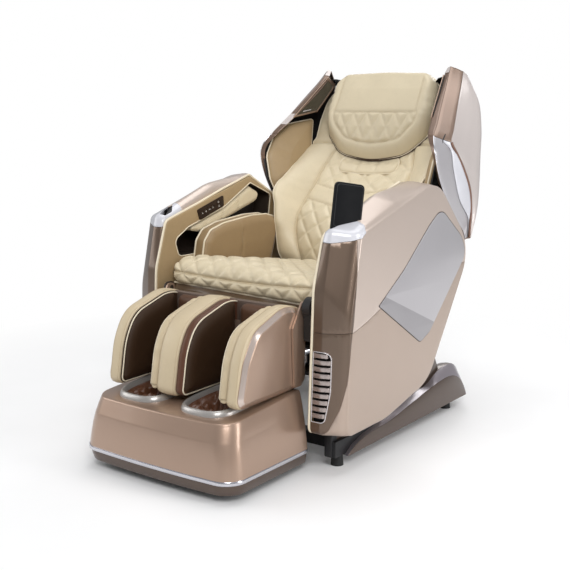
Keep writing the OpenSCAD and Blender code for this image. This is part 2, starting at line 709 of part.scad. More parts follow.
module wing_shells() color([0.78, 0.74, 0.71]) on_back() both_sides() difference() {
    wing_walls();
    side_slab(inlay_region, wing_apex_x - 2, wing_x1 + 2, fit_gap);
    strip_form(fit_gap);
    side_slab(grille_outline, grille_x - 1, grille_x + 5, fit_gap);
}

module wing_strips() color([0.4, 0.32, 0.27]) on_back() both_sides() strip_form(0);

module wing_inlays() color([0.9, 0.9, 0.92]) on_back() both_sides() intersection() {
    wing_walls();
    side_slab(inlay_region, wing_apex_x - 2, wing_x1 + 2);
}

module speaker_grilles() color([0.7, 0.6, 0.55]) on_back() both_sides() difference() {
    side_slab(grille_outline, grille_x, grille_x + 4);
    for (k = [0:5])
        translate([0, -202 + 10 * k, 622 + 14 * k]) rotate([-12, 0, 0])
            block([grille_x - 1, -2, 0], [grille_x + 5, 2, 28 + 3 * k]);
}

module shoulder_pads() color([0.66, 0.57, 0.44]) on_back() both_sides()
    plan_slab(rounded([
        [back_wide_x + soft_gap, -118, 3], [back_wide_x + soft_gap, -150, 8], [wing_x0 + 18, -206, 14], [wing_x0 + 34, -206, 6],
        [wing_x0 + 34, -118, 3]]), 436, 575);

back_x = back_cushion_w / 2;
back_wide_x = hw - 22;
bolster_x = 190;
wide_z = 232;
pillow_z0 = 508;
pillow_y0 = -177;                  // front of the pillow at its top
pillow_y1 = -121;                  // its rear at the hinge
pillow_low_y = -73.5;              // its rear at its lower edge
pillow_w = 412;
pivot_z = back_h - 11;

// The plane that the pillow rests on
function pillow_rear(z) = pillow_y1 + (pillow_low_y - pillow_y1) * (pivot_z + 4 - z) / (pivot_z + 4 - pillow_z0);

module back_cushion() color([0.87, 0.82, 0.70]) on_back() {
    intersection() {
        side_slab(rounded([
            [cushion_rear, 36, 6], [-90, 50, 20], [-119, 98, 40], [-137, 165, 50], [-137, 245, 90], [-100, 380, 120],
            [-86, pillow_z0 - 22, 12], [pillow_rear(pillow_z0 - 4) + soft_gap, pillow_z0 - 4, 6],
            [pillow_rear(back_h - 18) + soft_gap, back_h - 18, 12], [cushion_rear, back_h - 18, 6]]),
            -back_wide_x, back_wide_x);
        front_slab([[-back_x, 0], [back_x, 0], [back_x, wide_z], [bolster_x + 5, wide_z + 80], [bolster_x + 5, 600],
            [210, 640], [210, back_h], [-210, back_h], [-210, 640], [-bolster_x - 5, 600],
            [-bolster_x - 5, wide_z + 80], [-back_x, wide_z]], -300, 0);
    }
    both_sides() intersection() {
        side_slab(rounded([
            [cushion_rear, 36, 6], [-97, 50, 20], [-161, 134, 60], [-238, 180, 50], [-282, 250, 60], [-228, 380, 90],
            [-165, 540, 60], [-118, 600, 20], [cushion_rear, 600, 6]]), bolster_x, back_wide_x);
        front_slab(rounded([
            [bolster_x, 30, 2], [back_x, 30, 10], [back_x, wide_z - 6, 10], [back_wide_x, wide_z, 10],
            [back_wide_x, 560, 40], [bolster_x + 42, 606, 10], [bolster_x + 20, 600, 4], [bolster_x, 552, 4]]),
            -300, 0);
    }
}

module head_pillow() color([0.87, 0.82, 0.70]) on_back() intersection() {
    side_slab(rounded([
        [pillow_y1, pivot_z + 4, 14], [pillow_y0, pivot_z + 4, 20], [pillow_y0 + 14, 671, 120],
        [pillow_low_y - 42, 540, 50], [pillow_low_y - 22, pillow_z0, 14], [pillow_low_y, pillow_z0, 6]]),
        -pillow_w / 2 - 30, pillow_w / 2 + 30);
    front_slab(rounded([
        [-pillow_w / 2 + 6, pivot_z + 5, 24], [pillow_w / 2 - 6, pivot_z + 5, 24], [pillow_w / 2 + 22, 670, 90],
        [150, 530, 90], [0, pillow_z0 - 1, 250], [-150, 530, 90], [-pillow_w / 2 - 22, 670, 90]]), -300, 0);
}

// ---------- massage carriage, on the two rods of the back frame ----------

carriage_z = 170;
knead_x = 78;
knead_pin_d = 12;
knead_reach = 56;
roller_d = 36;
roller_w = 16;
roller_axle_d = 8;
roller_y = cushion_rear + roller_d / 2 + 4;

module massage_carriage() color([0.2, 0.2, 0.22]) on_back() difference() {
    union() {
        block([-track_x - 16, -15, carriage_z - 50], [track_x + 16, 15, carriage_z + 50]);
        block([-60, 15, carriage_z - 36], [60, 62, carriage_z + 36]);
        both_sides() bar_y(knead_pin_d, -46, -14, knead_x, carriage_z);
    }
    both_sides() translate([track_x, 0, carriage_z - 60]) cylinder(d = track_d + 2 * run_gap, h = 120);
}

module knead_arm() on_back() difference() {
    union() {
        bar_y(30, -44, -18, knead_x, carriage_z);
        block([knead_x - 6, -44, carriage_z - knead_reach - 8], [knead_x + 6, -26, carriage_z + knead_reach + 8]);
        for (s = [-1, 1])
            bar_x(roller_axle_d, knead_x, knead_x + 10 + roller_w, roller_y, carriage_z + s * knead_reach);
    }
    bar_y(knead_pin_d + 2 * run_gap, -60, 0, knead_x, carriage_z);
}

module knead_arm_left() color([0.75, 0.76, 0.78]) knead_arm();

module knead_arm_right() color([0.75, 0.76, 0.78]) mirror([1, 0, 0]) knead_arm();

module massage_roller(s) on_back() difference() {
    bar_x(roller_d, knead_x + 8, knead_x + 8 + roller_w, roller_y, carriage_z + s * knead_reach);
    bar_x(roller_axle_d + 2 * run_gap, knead_x, knead_x + 40, roller_y, carriage_z + s * knead_reach);
}

module roller_left_upper() color([0.3, 0.2, 0.15]) massage_roller(1);

module roller_left_lower() color([0.3, 0.2, 0.15]) massage_roller(-1);

module roller_right_upper() color([0.3, 0.2, 0.15]) mirror([1, 0, 0]) massage_roller(1);

module roller_right_lower() color([0.3, 0.2, 0.15]) mirror([1, 0, 0]) massage_roller(-1);

// ---------- drives ----------

actuator_d = 50;
rod_d = 20;
seat_tube_ys = [knee_y + 190, hip_y - 130];
seat_tube_z = 250;

module recline_actuator() color([0.3, 0.3, 0.32]) {
    difference() {
        bar_y(actuator_d, knee_y + 178, hip_y - 170, 0, pin_z);
        bar_y(rod_d + 2 * run_gap, knee_y + 190, hip_y - 169, 0, pin_z);
    }
    block([-24, knee_y + 180, pin_z + actuator_d / 2 - 6], [24, knee_y + 300, pin_z + actuator_d / 2 + 46]);
}

module recline_rod() color([0.75, 0.76, 0.78]) {
    bar_y(rod_d, hip_y - 250, pin_y - 30, 0, pin_z);
    block([-14, pin_y - 32, pin_z - 10], [14, pin_y - 22, pin_z + 10]);
    for (s = [-1, 1])
        block([s * 10.5 - 3.5, pin_y - 24, pin_z - 10], [s * 10.5 + 3.5, pin_y + 8, pin_z + 10]);
    bar_x(rod_pin_d, -14, 14, pin_y, pin_z);
}

module leg_drive() color([0.1, 0.1, 0.11]) {
    bar_x(60, plate_x1 + fit_gap, hw - 2, knee_y, knee_z);
    block([plate_x1 + fit_gap, knee_y - 20, knee_z - 100], [hw - 2, knee_y + 28, knee_z]);
}

// ---------- leg rest ----------

foot_rod_d = 16;
foot_rod_x = 150;
foot_rod_y = knee_y - 30;
leg_plate_y = knee_y - 52;
calf_z0 = 248;
calf_z1 = knee_z + 12;
calf_t = 12;
calf_pad_t = 62;
calf_rear_t = 24;
pad_x0 = calf_x - calf_t - soft_gap - calf_pad_t;
divider_x = pad_x0 - channel_w;

module leg_frame() color([0.13, 0.13, 0.14]) difference() {
    union() {
        both_sides() {
            side_slab(rounded([
                [knee_y - 15, knee_z + 15, 14], [knee_y + 15, knee_z + 15, 14], [knee_y + 12, knee_z - 60, 30],
                [knee_y - 18, 262, 5], [leg_plate_y, 262, 5], [leg_plate_y - 10, knee_z - 60, 30]]),
                hinge_x0, hinge_x1);
            block([foot_rod_x - 13, leg_plate_y + 3, 264], [foot_rod_x + 13, foot_rod_y + 13, 470]);
        }
        block([-hinge_x0 - 1, leg_plate_y, 262], [hinge_x0 + 1, leg_plate_y + 4, 440]);
    }
    both_sides() {
        bar_x(knee_pin_d + 2 * run_gap, hinge_x0 - 1, hinge_x1 + 1, knee_y, knee_z);
        translate([foot_rod_x, foot_rod_y, 240]) cylinder(d = foot_rod_d + 2 * run_gap, h = 260);
    }
}

// Side outline shared by the calf side panels and the divider, drawn in by d
function calf_side(d) = rounded([
    [front_y + 72 + d, calf_z0 + d, 22], [front_y + 104 + d, 380, 120], [front_y + 152 + d, 458, 70],
    [knee_y - 68, calf_z1 - d, 110], [knee_y + 6, knee_z - 8 - d, 22], [leg_plate_y - fit_gap, knee_z - 40, 20],
    [leg_plate_y - fit_gap, calf_z0 + d, 4]]);

module calf_shells() color([0.24, 0.17, 0.11]) both_sides()
    side_slab(calf_side(0), calf_x - calf_t, calf_x);

// A solid of the calf outline that leaves room for the rear pad
module calf_piece(d, x0, x1) difference() {
    side_slab(calf_side(d), x0, x1);
    block([x0 - 1, leg_plate_y - calf_rear_t - soft_gap, 0], [x1 + 1, knee_y + 20, knee_z - 36]);
}

module calf_pads() color([0.87, 0.82, 0.70]) {
    both_sides() calf_piece(3, pad_x0, calf_x - calf_t - soft_gap);
    block([-pad_x0, leg_plate_y - calf_rear_t, calf_z0 + 20], [pad_x0, leg_plate_y - soft_gap, 440]);
}

module calf_divider() color([0.87, 0.82, 0.70])
    calf_piece(0, -divider_x, divider_x);

// ---------- foot box ----------

foot_bow = 12;
foot_y1 = knee_y - 14;             // rear of the foot box, behind its rods
foot_y0 = foot_y1 - foot_d;        // its front corners
band_z0 = 60;
band_z1 = 68;
skirt_z0 = 25;
skirt_t = 3;
foot_slope = 4.5;                  // rise of the top towards the rear
foot_top_w = foot_w - 74;
foot_wall = 4;
well_x = 128;
well_w = 176;
well_l = foot_d - 114;
well_y = foot_y0 + well_l / 2 + 50;
rim_w = 13;
liner_t = 3;

// Plan of the foot box with its bowed front
function foot_plan(w, y0, y1, d = 0) = concat(
    corner_points([0, y1 - d], [w / 2 - d, y1 - d], [w / 2 - d, y0 + d], 30, 15),
    corner_points([w / 2 - d, y1], [w / 2 - d, y0 + d], [w / 4, y0 + d - foot_bow * 0.6], 34, 15),
    [for (k = [-5:5]) let (x = -k * w / 14) [x, y0 + d - foot_bow * (1 - pow(2 * x / w, 2))]],
    corner_points([-w / 4, y0 + d - foot_bow * 0.6], [-w / 2 + d, y0 + d], [-w / 2 + d, y1], 34, 15),
    corner_points([-w / 2 + d, y0 + d], [-w / 2 + d, y1 - d], [0, y1 - d], 30, 15));

// The outer form of the foot box between two heights, drawn in by d
module foot_form(d) hull() {
    plan_slab(foot_plan(foot_w, foot_y0, foot_y1, d), band_z1, band_z1 + 2);
    plan_slab(foot_plan(foot_w - 8, foot_y0 + 3, foot_y1, d), band_z1 + 40, band_z1 + 42);
    plan_slab(foot_plan(foot_top_w, foot_y0 + 26, foot_y1, d), foot_h + 22, foot_h + 24);
}

// The frame of the sloping top: its origin is over the middle of the wells
module on_foot_top()
    translate([0, well_y, foot_top_z]) rotate([foot_slope, 0, 0]) children();
foot_top_z = foot_h + (well_y - foot_y0) * tan(foot_slope);

// An oval outline with straight sides
function oval(w, l) = concat(
    [for (a = [0:10:180]) [w / 2 * cos(a), (l - w) / 2 + w / 2 * sin(a)]],
    [for (a = [180:10:360]) [w / 2 * cos(a), (w - l) / 2 + w / 2 * sin(a)]]);

module foot_shell() color([0.5, 0.42, 0.38]) {
    difference() {
        foot_form(0);
        difference() {
            translate([0, 0, -1]) foot_form(foot_wall);
            on_foot_top() block([-foot_w, -foot_d, -foot_wall], [foot_w, foot_d, 100]);
        }
        on_foot_top() block([-foot_w, -foot_d, 0], [foot_w, foot_d, 100]);
        both_sides() on_foot_top() translate([well_x, 0, -20]) linear_extrude(40) polygon(oval(well_w, well_l));
    }
    both_sides() translate([foot_rod_x, foot_rod_y, foot_h]) cylinder(d = foot_rod_d, h = 224);
}

module foot_band() color([0.78, 0.78, 0.8]) difference() {
    plan_slab(foot_plan(foot_w + 2, foot_y0 - 1, foot_y1), band_z0, band_z1 - fit_gap);
    plan_slab(foot_plan(foot_w, foot_y0, foot_y1, 12), band_z0 - 1, band_z1 + 1);
}

module foot_skirt() color([0.25, 0.2, 0.18]) difference() {
    hull() {
        plan_slab(foot_plan(foot_w - 8, foot_y0 + 4, foot_y1 - 4), band_z0 - 2 - fit_gap, band_z0 - fit_gap);
        plan_slab(foot_plan(foot_w - 26, foot_y0 + 12, foot_y1 - 12), skirt_z0, skirt_z0 + 2);
    }
    plan_slab(foot_plan(foot_w - 8, foot_y0 + 4, foot_y1 - 4, 18), skirt_z0 + skirt_t, band_z1);
    for (s = [-1, 1])
        bar_x(roller_axle_foot_d + 2 * fit_gap, s * foot_w / 2 - 60, s * foot_w / 2 + 60, foot_shaft_y, foot_shaft_z);
}

roller_axle_foot_d = 10;
foot_shaft_y = well_y + 20;
foot_shaft_z = 46;
foot_roller_d = 34;
liner_z0 = foot_shaft_z + foot_roller_d / 2 - 3;
roller_xs = [-32, 32];

module well_rims() color([0.85, 0.85, 0.88]) both_sides() on_foot_top() translate([well_x, 0, 0]) difference() {
    translate([0, 0, -3]) linear_extrude(7) polygon(oval(well_w - 2 * fit_gap, well_l - 2 * fit_gap));
    translate([0, 0, -4]) linear_extrude(9) polygon(oval(well_w - 2 * rim_w, well_l - 2 * rim_w));
}

module well_liners() color([0.24, 0.17, 0.11]) both_sides() difference() {
    translate([well_x, well_y, liner_z0])
        linear_extrude(foot_h) polygon(oval(well_w + 2, well_l + 2));
    translate([well_x, well_y, liner_z0 + liner_t])
        linear_extrude(foot_h) polygon(oval(well_w + 2 - 2 * liner_t, well_l + 2 - 2 * liner_t));
    on_foot_top() block([0, -foot_d, -foot_wall - fit_gap], [foot_w, foot_d, 2 * foot_h]);
    for (x = roller_xs)
        block([well_x + x - 10, foot_shaft_y - 16, liner_z0 - 1], [well_x + x + 10, foot_shaft_y + 16, liner_z0 + liner_t + 1]);
}

module foot_rollers() color([0.8, 0.78, 0.72]) {
    bar_x(roller_axle_foot_d, -foot_w / 2 + 24, foot_w / 2 - 24, foot_shaft_y, foot_shaft_z);
    for (s = [-1, 1], x = roller_xs)
        bar_x(foot_roller_d, s * well_x + x - 8, s * well_x + x + 8, foot_shaft_y, foot_shaft_z);
}

base_frame();
rail_covers();
base_feet();
guide_rods();
power_box();
power_switch();
transport_wheels();
seat_frame();
seat_cushion();
seat_apron();
arm_upper_shell_left();
arm_upper_shell_right();
arm_lower_shells();
arm_inlays();
front_columns();
vent_grilles();
arm_inner_panel_left();
arm_inner_panel_right();
forearm_pads();
hip_cushions();
remote_dock();
phone_pocket();
remote_handset();
control_panel();
mode_key_1();
mode_key_2();
mode_key_3();
mode_key_4();
round_key_upper();
round_key_lower();
back_frame();
back_shell();
wing_shells();
wing_strips();
wing_inlays();
speaker_grilles();
shoulder_pads();
back_cushion();
head_pillow();
massage_carriage();
knead_arm_left();
knead_arm_right();
roller_left_upper();
roller_left_lower();
roller_right_upper();
roller_right_lower();
recline_actuator();
recline_rod();
leg_drive();
leg_frame();
calf_shells();
calf_pads();
calf_divider();
foot_shell();
foot_band();
foot_skirt();
well_rims();
well_liners();
foot_rollers();
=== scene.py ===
import json
from math import acos, atan2, cos, exp, hypot, pi, radians, sin, sqrt, tan

import bmesh
import bpy
import numpy as np
from mathutils import Matrix, Vector


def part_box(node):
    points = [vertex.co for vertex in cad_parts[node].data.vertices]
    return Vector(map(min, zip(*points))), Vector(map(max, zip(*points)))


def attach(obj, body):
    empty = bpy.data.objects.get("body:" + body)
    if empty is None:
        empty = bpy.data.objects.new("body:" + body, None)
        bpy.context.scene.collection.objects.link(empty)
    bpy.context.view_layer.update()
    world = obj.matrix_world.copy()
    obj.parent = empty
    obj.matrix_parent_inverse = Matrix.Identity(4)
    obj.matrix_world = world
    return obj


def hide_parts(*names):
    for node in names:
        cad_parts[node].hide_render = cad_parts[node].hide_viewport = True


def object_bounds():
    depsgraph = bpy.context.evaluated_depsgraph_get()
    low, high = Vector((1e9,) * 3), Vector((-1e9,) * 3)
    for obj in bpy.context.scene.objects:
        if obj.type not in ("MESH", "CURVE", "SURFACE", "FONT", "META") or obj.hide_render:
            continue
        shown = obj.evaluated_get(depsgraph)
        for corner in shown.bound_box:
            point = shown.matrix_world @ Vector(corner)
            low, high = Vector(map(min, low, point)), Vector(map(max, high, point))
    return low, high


# The visual model of a reclining massage chair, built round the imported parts: their boxes, joints and bodies.
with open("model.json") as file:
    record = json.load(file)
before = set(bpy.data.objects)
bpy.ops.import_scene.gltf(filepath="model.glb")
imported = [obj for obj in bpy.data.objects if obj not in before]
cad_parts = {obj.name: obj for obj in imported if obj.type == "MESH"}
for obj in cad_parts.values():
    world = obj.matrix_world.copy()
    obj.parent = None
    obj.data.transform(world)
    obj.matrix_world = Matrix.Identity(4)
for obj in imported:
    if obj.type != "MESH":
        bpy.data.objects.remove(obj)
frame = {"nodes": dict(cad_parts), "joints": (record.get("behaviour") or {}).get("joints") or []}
cad_low, cad_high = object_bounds()
joints = {j["name"]: j for j in frame["joints"]}
MM = 0.001

# ------------------------------------------------------------ places
# Side outlines are given in millimetres: F behind the front corners of the foot box, and Z above the floor.
FOOT_BOW = 0.012
F_ZERO = cad_low.y + FOOT_BOW
HIP = Vector(joints["recline"]["pos_m"])
KNEE = Vector(joints["leg_lift"]["pos_m"])
TILT = radians(34)


def fy(f):
    return F_ZERO + f * MM


def on_back(x, y, z):
    """A point of the backrest: y is depth behind the hip line, z runs up the back, all in metres."""
    return Vector((x, HIP.y + y * cos(TILT) + z * sin(TILT), HIP.z - y * sin(TILT) + z * cos(TILT)))


# ------------------------------------------------------------ outlines
def outline(corners, arc=8, edges=None, pitch=14.0):
    """Corners (a, b, radius) in mm as a closed smooth line; edges fixes the points on each straight."""
    n = len(corners)
    at = [Vector(c[:2]) for c in corners]
    cut = []
    for i, c in enumerate(corners):
        u = (at[i - 1] - at[i])
        v = (at[(i + 1) % n] - at[i])
        room = 0.49 * min(u.length, v.length)
        u.normalize()
        v.normalize()
        half = acos(max(-1.0, min(1.0, u.dot(v)))) / 2
        reach = 0.0 if half > 1.56 else min(c[2] / tan(half), room)
        cut.append((u, v, half, reach))
    pts, counts = [], []
    for i in range(n):
        u, v, half, reach = cut[i]
        if reach < 1e-6:
            pts += [at[i].copy() for _ in range(arc + 1)]
        else:
            mid = at[i] + (u + v).normalized() * (reach / cos(half))
            a = at[i] + u * reach - mid
            b = at[i] + v * reach - mid
            a0 = atan2(a.y, a.x)
            turn = (atan2(b.y, b.x) - a0 + pi) % (2 * pi) - pi
            pts += [mid + Vector((cos(a0 + turn * k / arc), sin(a0 + turn * k / arc))) * a.length
                    for k in range(arc + 1)]
        j = (i + 1) % n
        start, end = at[i] + v * reach, at[j] + cut[j][0] * cut[j][3]
        count = edges[i] if edges else max(1, round((end - start).length / pitch))
        counts.append(count)
        pts += [start.lerp(end, k / count) for k in range(1, count)]
    return np.array([(p.x, p.y) for p in pts]), counts


def smooth_line(points, count=60, closed=False):
    """A Catmull-Rom curve through the points."""
    p = [np.array(q, float) for q in points]
    if closed:
        p = [p[-1]] + p + [p[0], p[1]]
    else:
        p = [2 * p[0] - p[1]] + p + [2 * p[-1] - p[-2]]
    spans = len(p) - 3
    out = []
    for k in range(count if closed else count + 1):
        s = min(k / count * spans, spans - 1e-9)
        i = int(s)
        t = s - i
        a, b, c, d = p[i:i + 4]
        out.append(0.5 * (2 * b + (c - a) * t + (2 * a - 5 * b + 4 * c - d) * t * t +
                          (3 * b - a - 3 * c + d) * t ** 3))
    return np.array(out)


def nearest(points, line, closed=False):
    """Distance from each 2-D point to a polyline."""
    a = np.asarray(line, float)
    b = np.roll(a, -1, axis=0) if closed else a[1:]
    a = a if closed else a[:-1]
    best = np.full(len(points), 1e9)
    for s, e in zip(a, b):
        d = e - s
        w = np.clip(((points - s) @ d) / max(d @ d, 1e-12), 0, 1)
        best = np.minimum(best, np.linalg.norm(points - s - w[:, None] * d, axis=1))
    return best


# ------------------------------------------------------------ meshes
def add_object(name, mesh, body, mats):
    ob = bpy.data.objects.new(name, mesh)
    bpy.context.scene.collection.objects.link(ob)
    for m in mats if isinstance(mats, (list, tuple)) else [mats]:
        mesh.materials.append(m)
    if body:
        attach(ob, body)
    return ob


def shade(mesh, angle=32):
    mesh.shade_smooth()
    mesh.set_sharp_from_angle(angle=radians(angle))


def make(name, verts, faces, body, mats, angle=32, mirror=False):
    mesh = bpy.data.meshes.new(name)
    v = np.asarray(verts, float)
    if mirror:
        v = v * (-1, 1, 1)
    mesh.from_pydata(v.tolist(), [], faces)
    bm = bmesh.new()
    bm.from_mesh(mesh)
    bmesh.ops.remove_doubles(bm, verts=bm.verts, dist=1e-6)
    bmesh.ops.recalc_face_normals(bm, faces=bm.faces)
    bm.to_mesh(mesh)
    bm.free()
    shade(mesh, angle)
    return add_object(name, mesh, body, mats)


def bake(ob, angle=32):
    bpy.context.view_layer.update()
    dg = bpy.context.evaluated_depsgraph_get()
    mesh = bpy.data.meshes.new_from_object(ob.evaluated_get(dg))
    ob.modifiers.clear()
    ob.data = mesh
    shade(mesh, angle)
    return ob


def mirror_mesh(mesh):
    """Mirror a mesh in the plane X = 0, keeping its faces outward."""
    mesh.transform(Matrix.Diagonal((-1, 1, 1, 1)))
    mesh.flip_normals()


def close_ends(mesh):
    """Fill the open ends of a skin and turn its faces outward."""
    bm = bmesh.new()
    bm.from_mesh(mesh)
    bmesh.ops.holes_fill(bm, edges=[e for e in bm.edges if e.is_boundary], sides=0)
    bmesh.ops.recalc_face_normals(bm, faces=bm.faces)
    bm.to_mesh(mesh)
    bm.free()


def thicken(ob, thick, offset, angle=32):
    """Give a skin a wall, in mm; offset says to which side of the skin it grows."""
    wall = ob.modifiers.new("wall", "SOLIDIFY")
    wall.thickness = thick * MM
    wall.offset = offset
    return bake(ob, angle)


def face_y(ob, sign):
    """Turn a skin's faces so that on the whole they look along sign times +Y."""
    if sum(f.normal.y * f.area for f in ob.data.polygons) * sign < 0:
        ob.data.flip_normals()


def boolean(ob, cutter, op):
    m = ob.modifiers.new("cut", "BOOLEAN")
    m.operation = op
    m.object = cutter
    m.solver = "MANIFOLD"
    bake(ob)


def bevel(ob, width, segments=2, angle=38):
    m = ob.modifiers.new("bevel", "BEVEL")
    m.width = width * MM
    m.segments = segments
    m.limit_method = "ANGLE"
    m.angle_limit = radians(angle)
    m.use_clamp_overlap = True
    m.harden_normals = False
    return bake(ob, 50)


def clone(ob, name, body, mats, mirror=False):
    mesh = ob.data.copy()
    mesh.materials.clear()
    if mirror:
        mirror_mesh(mesh)
    return add_object(name, mesh, body, mats)


def drop(*obs):
    for o in obs:
        bpy.data.objects.remove(o)


def grid_faces(rows, cols, wrap=False, base=0):
    out = []
    for r in range(rows - 1):
        for c in range(cols if wrap else cols - 1):
            d = (c + 1) % cols
            out.append((base + r * cols + c, base + r * cols + d, base + (r + 1) * cols + d,
                        base + (r + 1) * cols + c))
    return out


def loft(name, rings, body, mats, cap_low=False, cap_high=False, angle=32, mirror=False):
    """Rings of equal count joined to a skin; a cap is a fan on its own centre."""
    cols = len(rings[0])
    verts = [tuple(p) for r in rings for p in r]
    faces = grid_faces(len(rings), cols, wrap=True)
    for low, wanted in ((True, cap_low), (False, cap_high)):
        if wanted:
            ring = rings[0] if low else rings[-1]
            start = 0 if low else (len(rings) - 1) * cols
            verts.append(tuple(np.mean(np.array([tuple(p) for p in ring]), axis=0)))
            faces += [(start + c, start + (c + 1) % cols, len(verts) - 1) for c in range(cols)]
    return make(name, verts, faces, body, mats, angle, mirror)


def side_prism(name, points, x0, x1):
    """A side outline (F, Z) in mm made solid between two values of X in mm."""
    rings = [[(x * MM, fy(p[0]), p[1] * MM) for p in points] for x in (x0, x1)]
    n = len(points)
    verts = [v for r in rings for v in r]
    faces = grid_faces(2, n, wrap=True) + [tuple(range(n))[::-1], tuple(range(n, 2 * n))]
    return make(name, verts, faces, None, [])


def tube(name, path, radius, body, mat, closed=False, sides=10, mirror=False, flat=1.0, up=None):
    """A round cord along a path, with its ends closed."""
    p = np.array([tuple(q) for q in path], float)
    p = p[np.linalg.norm(p - np.roll(p, 1, 0), axis=1) > 1e-6]
    n = len(p)
    if closed:
        tang = np.roll(p, -1, 0) - np.roll(p, 1, 0)
    else:
        tang = np.gradient(p, axis=0)
    tang /= np.linalg.norm(tang, axis=1)[:, None]
    ref = np.array(up if up is not None else (0.0, 0.0, 1.0))
    if up is None and abs(tang[0] @ ref) > 0.9:
        ref = np.array((1.0, 0.0, 0.0))
    side = np.cross(tang[0], ref)
    side /= np.linalg.norm(side)
    verts = []
    for i in range(n):
        if up is not None:
            side = np.cross(tang[i], ref)
        side = side - tang[i] * (side @ tang[i])
        side /= np.linalg.norm(side)
        other = np.cross(side, tang[i])
        for k in range(sides):
            a = 2 * pi * k / sides
            verts.append(p[i] + radius * (cos(a) * side + flat * sin(a) * other))
    faces = grid_faces(n, sides, wrap=True)
    if closed:
        last = (n - 1) * sides
        faces += [(last + k, last + (k + 1) % sides, (k + 1) % sides, k) for k in range(sides)]
    else:
        faces += [tuple(range(sides)), tuple(range((n - 1) * sides, n * sides))]
    return make(name, verts, faces, body, mat, 50, mirror)


def flat_plate(name, outer, holes, place, thick, edge, body, mats, mirror=False, resolution=2):
    """A flat panel with rounded rims: outlines in mm, place(a, b, h) puts a point in the frame."""
    curve = bpy.data.curves.new(name, "CURVE")
    curve.dimensions = "2D"
    curve.fill_mode = "BOTH"
    for line in [outer] + list(holes):
        s = curve.splines.new("POLY")
        s.points.add(len(line) - 1)
        for q, p in zip(s.points, line):
            q.co = (p[0] * MM, p[1] * MM, 0, 1)
        s.use_cyclic_u = True
    curve.extrude = max(thick / 2 - edge, 0) * MM
    curve.bevel_depth = edge * MM
    curve.offset = -edge * MM
    curve.bevel_resolution = resolution
    tmp = bpy.data.objects.new(name + "_c", curve)
    bpy.context.scene.collection.objects.link(tmp)
    bpy.context.view_layer.update()
    mesh = bpy.data.meshes.new_from_object(tmp.evaluated_get(bpy.context.evaluated_depsgraph_get()))
    bpy.data.objects.remove(tmp)
    co = [place(v.co.x / MM, v.co.y / MM, v.co.z + thick / 2 * MM) for v in mesh.vertices]
    faces = [tuple(f.vertices) for f in mesh.polygons]
    bpy.data.meshes.remove(mesh)
    return make(name, [tuple(c) for c in co], faces, body, mats, 40, mirror)


def side_place(x, sign=1):
    """Outline in a side view, its thickness growing outward from x (mm)."""
    return lambda a, b, h: Vector((x * MM + sign * h, fy(a), b * MM))


def radial_pad(name, line, front, back, place, body, mats, rings=34, power=1.5, mirror=False,
               centre=None):
    """A closed pad inside a 2-D outline; front and back give heights in mm from (points, edge distance)."""
    line = np.asarray(line, float)
    c = np.array(centre) if centre is not None else line.mean(axis=0)
    ts = [1 - (k / rings) ** power for k in range(rings)]
    n = len(line)
    flat = np.concatenate([c + (line - c) * t for t in ts] + [c[None, :]])
    d = nearest(flat, line, closed=True)
    d[:n] = 0
    hf, hb = front(flat, d), back(flat, d)
    hf[:n] = hb[:n] = 0
    verts = [tuple(place(p[0], p[1], h * MM)) for p, h in zip(flat, hf)]
    verts += [tuple(place(p[0], p[1], h * MM)) for p, h in zip(flat[n:], hb[n:])]
    faces = grid_faces(rings, n, wrap=True)
    top = rings * n
    faces += [((rings - 1) * n + k, (rings - 1) * n + (k + 1) % n, top) for k in range(n)]
    shift = top + 1 - n
    low = lambda i: i if i < n else i + shift
    faces += [tuple(low(i) for i in f)[::-1] for f in grid_faces(rings, n, wrap=True)]
    faces += [(low((rings - 1) * n + (k + 1) % n), low((rings - 1) * n + k), top + shift) for k in range(n)]
    return make(name, verts, faces, body, mats, 75, mirror)


def rounding(d, reach):
    """0 at an edge rising to 1 over reach, like a quarter circle."""
    return np.sqrt(np.clip(1 - (1 - np.clip(d / reach, 0, 1)) ** 2, 0, 1))


def crease(d, width):
    """1 on a seam, falling to 0 either side."""
    return np.exp(-np.clip(d / width, 0, 30) ** 1.15)


def stitches(name, lines, body, mat, length=3.6, gap=1.9, radius=0.45, mirror=False,
             up=(0, -1, 0.3)):
    """Thread laid along 3-D polylines as single stitches."""
    verts, faces = [], []
    for line in lines:
        p = np.array([tuple(q) for q in line], float)
        seg = np.linalg.norm(np.diff(p, axis=0), axis=1)
        s = np.concatenate([[0], np.cumsum(seg)])
        pos = 0.6 * gap * MM
        while pos + length * MM < s[-1]:
            ends = [np.array([np.interp(pos + q * length * MM, s, p[:, k]) for k in range(3)])
                    for q in (0, 0.5, 1)]
            t = ends[2] - ends[0]
            if np.linalg.norm(t) > 1e-6:
                t /= np.linalg.norm(t)
                side = np.cross(t, up)
                side /= max(np.linalg.norm(side), 1e-9)
                top = np.cross(side, t)
                base = len(verts)
                for e, r, lift in ((ends[0], 0.5, -0.3), (ends[1], 1.0, 0.35), (ends[2], 0.5, -0.3)):
                    for k in range(6):
                        a = pi * k / 3
                        verts.append(e + radius * MM * (r * (cos(a) * side + sin(a) * top) + lift * top))
                faces += grid_faces(3, 6, wrap=True, base=base)
                faces += [tuple(range(base, base + 6)), tuple(range(base + 12, base + 18))]
            pos += (length + gap) * MM
    return make(name, verts, faces, body, mat, 60, mirror)


# ------------------------------------------------------------ materials
def srgb(r, g, b):
    f = lambda c: c / 12.92 if c <= 0.04045 else ((c + 0.055) / 1.055) ** 2.4
    return (f(r / 255), f(g / 255), f(b / 255), 1)


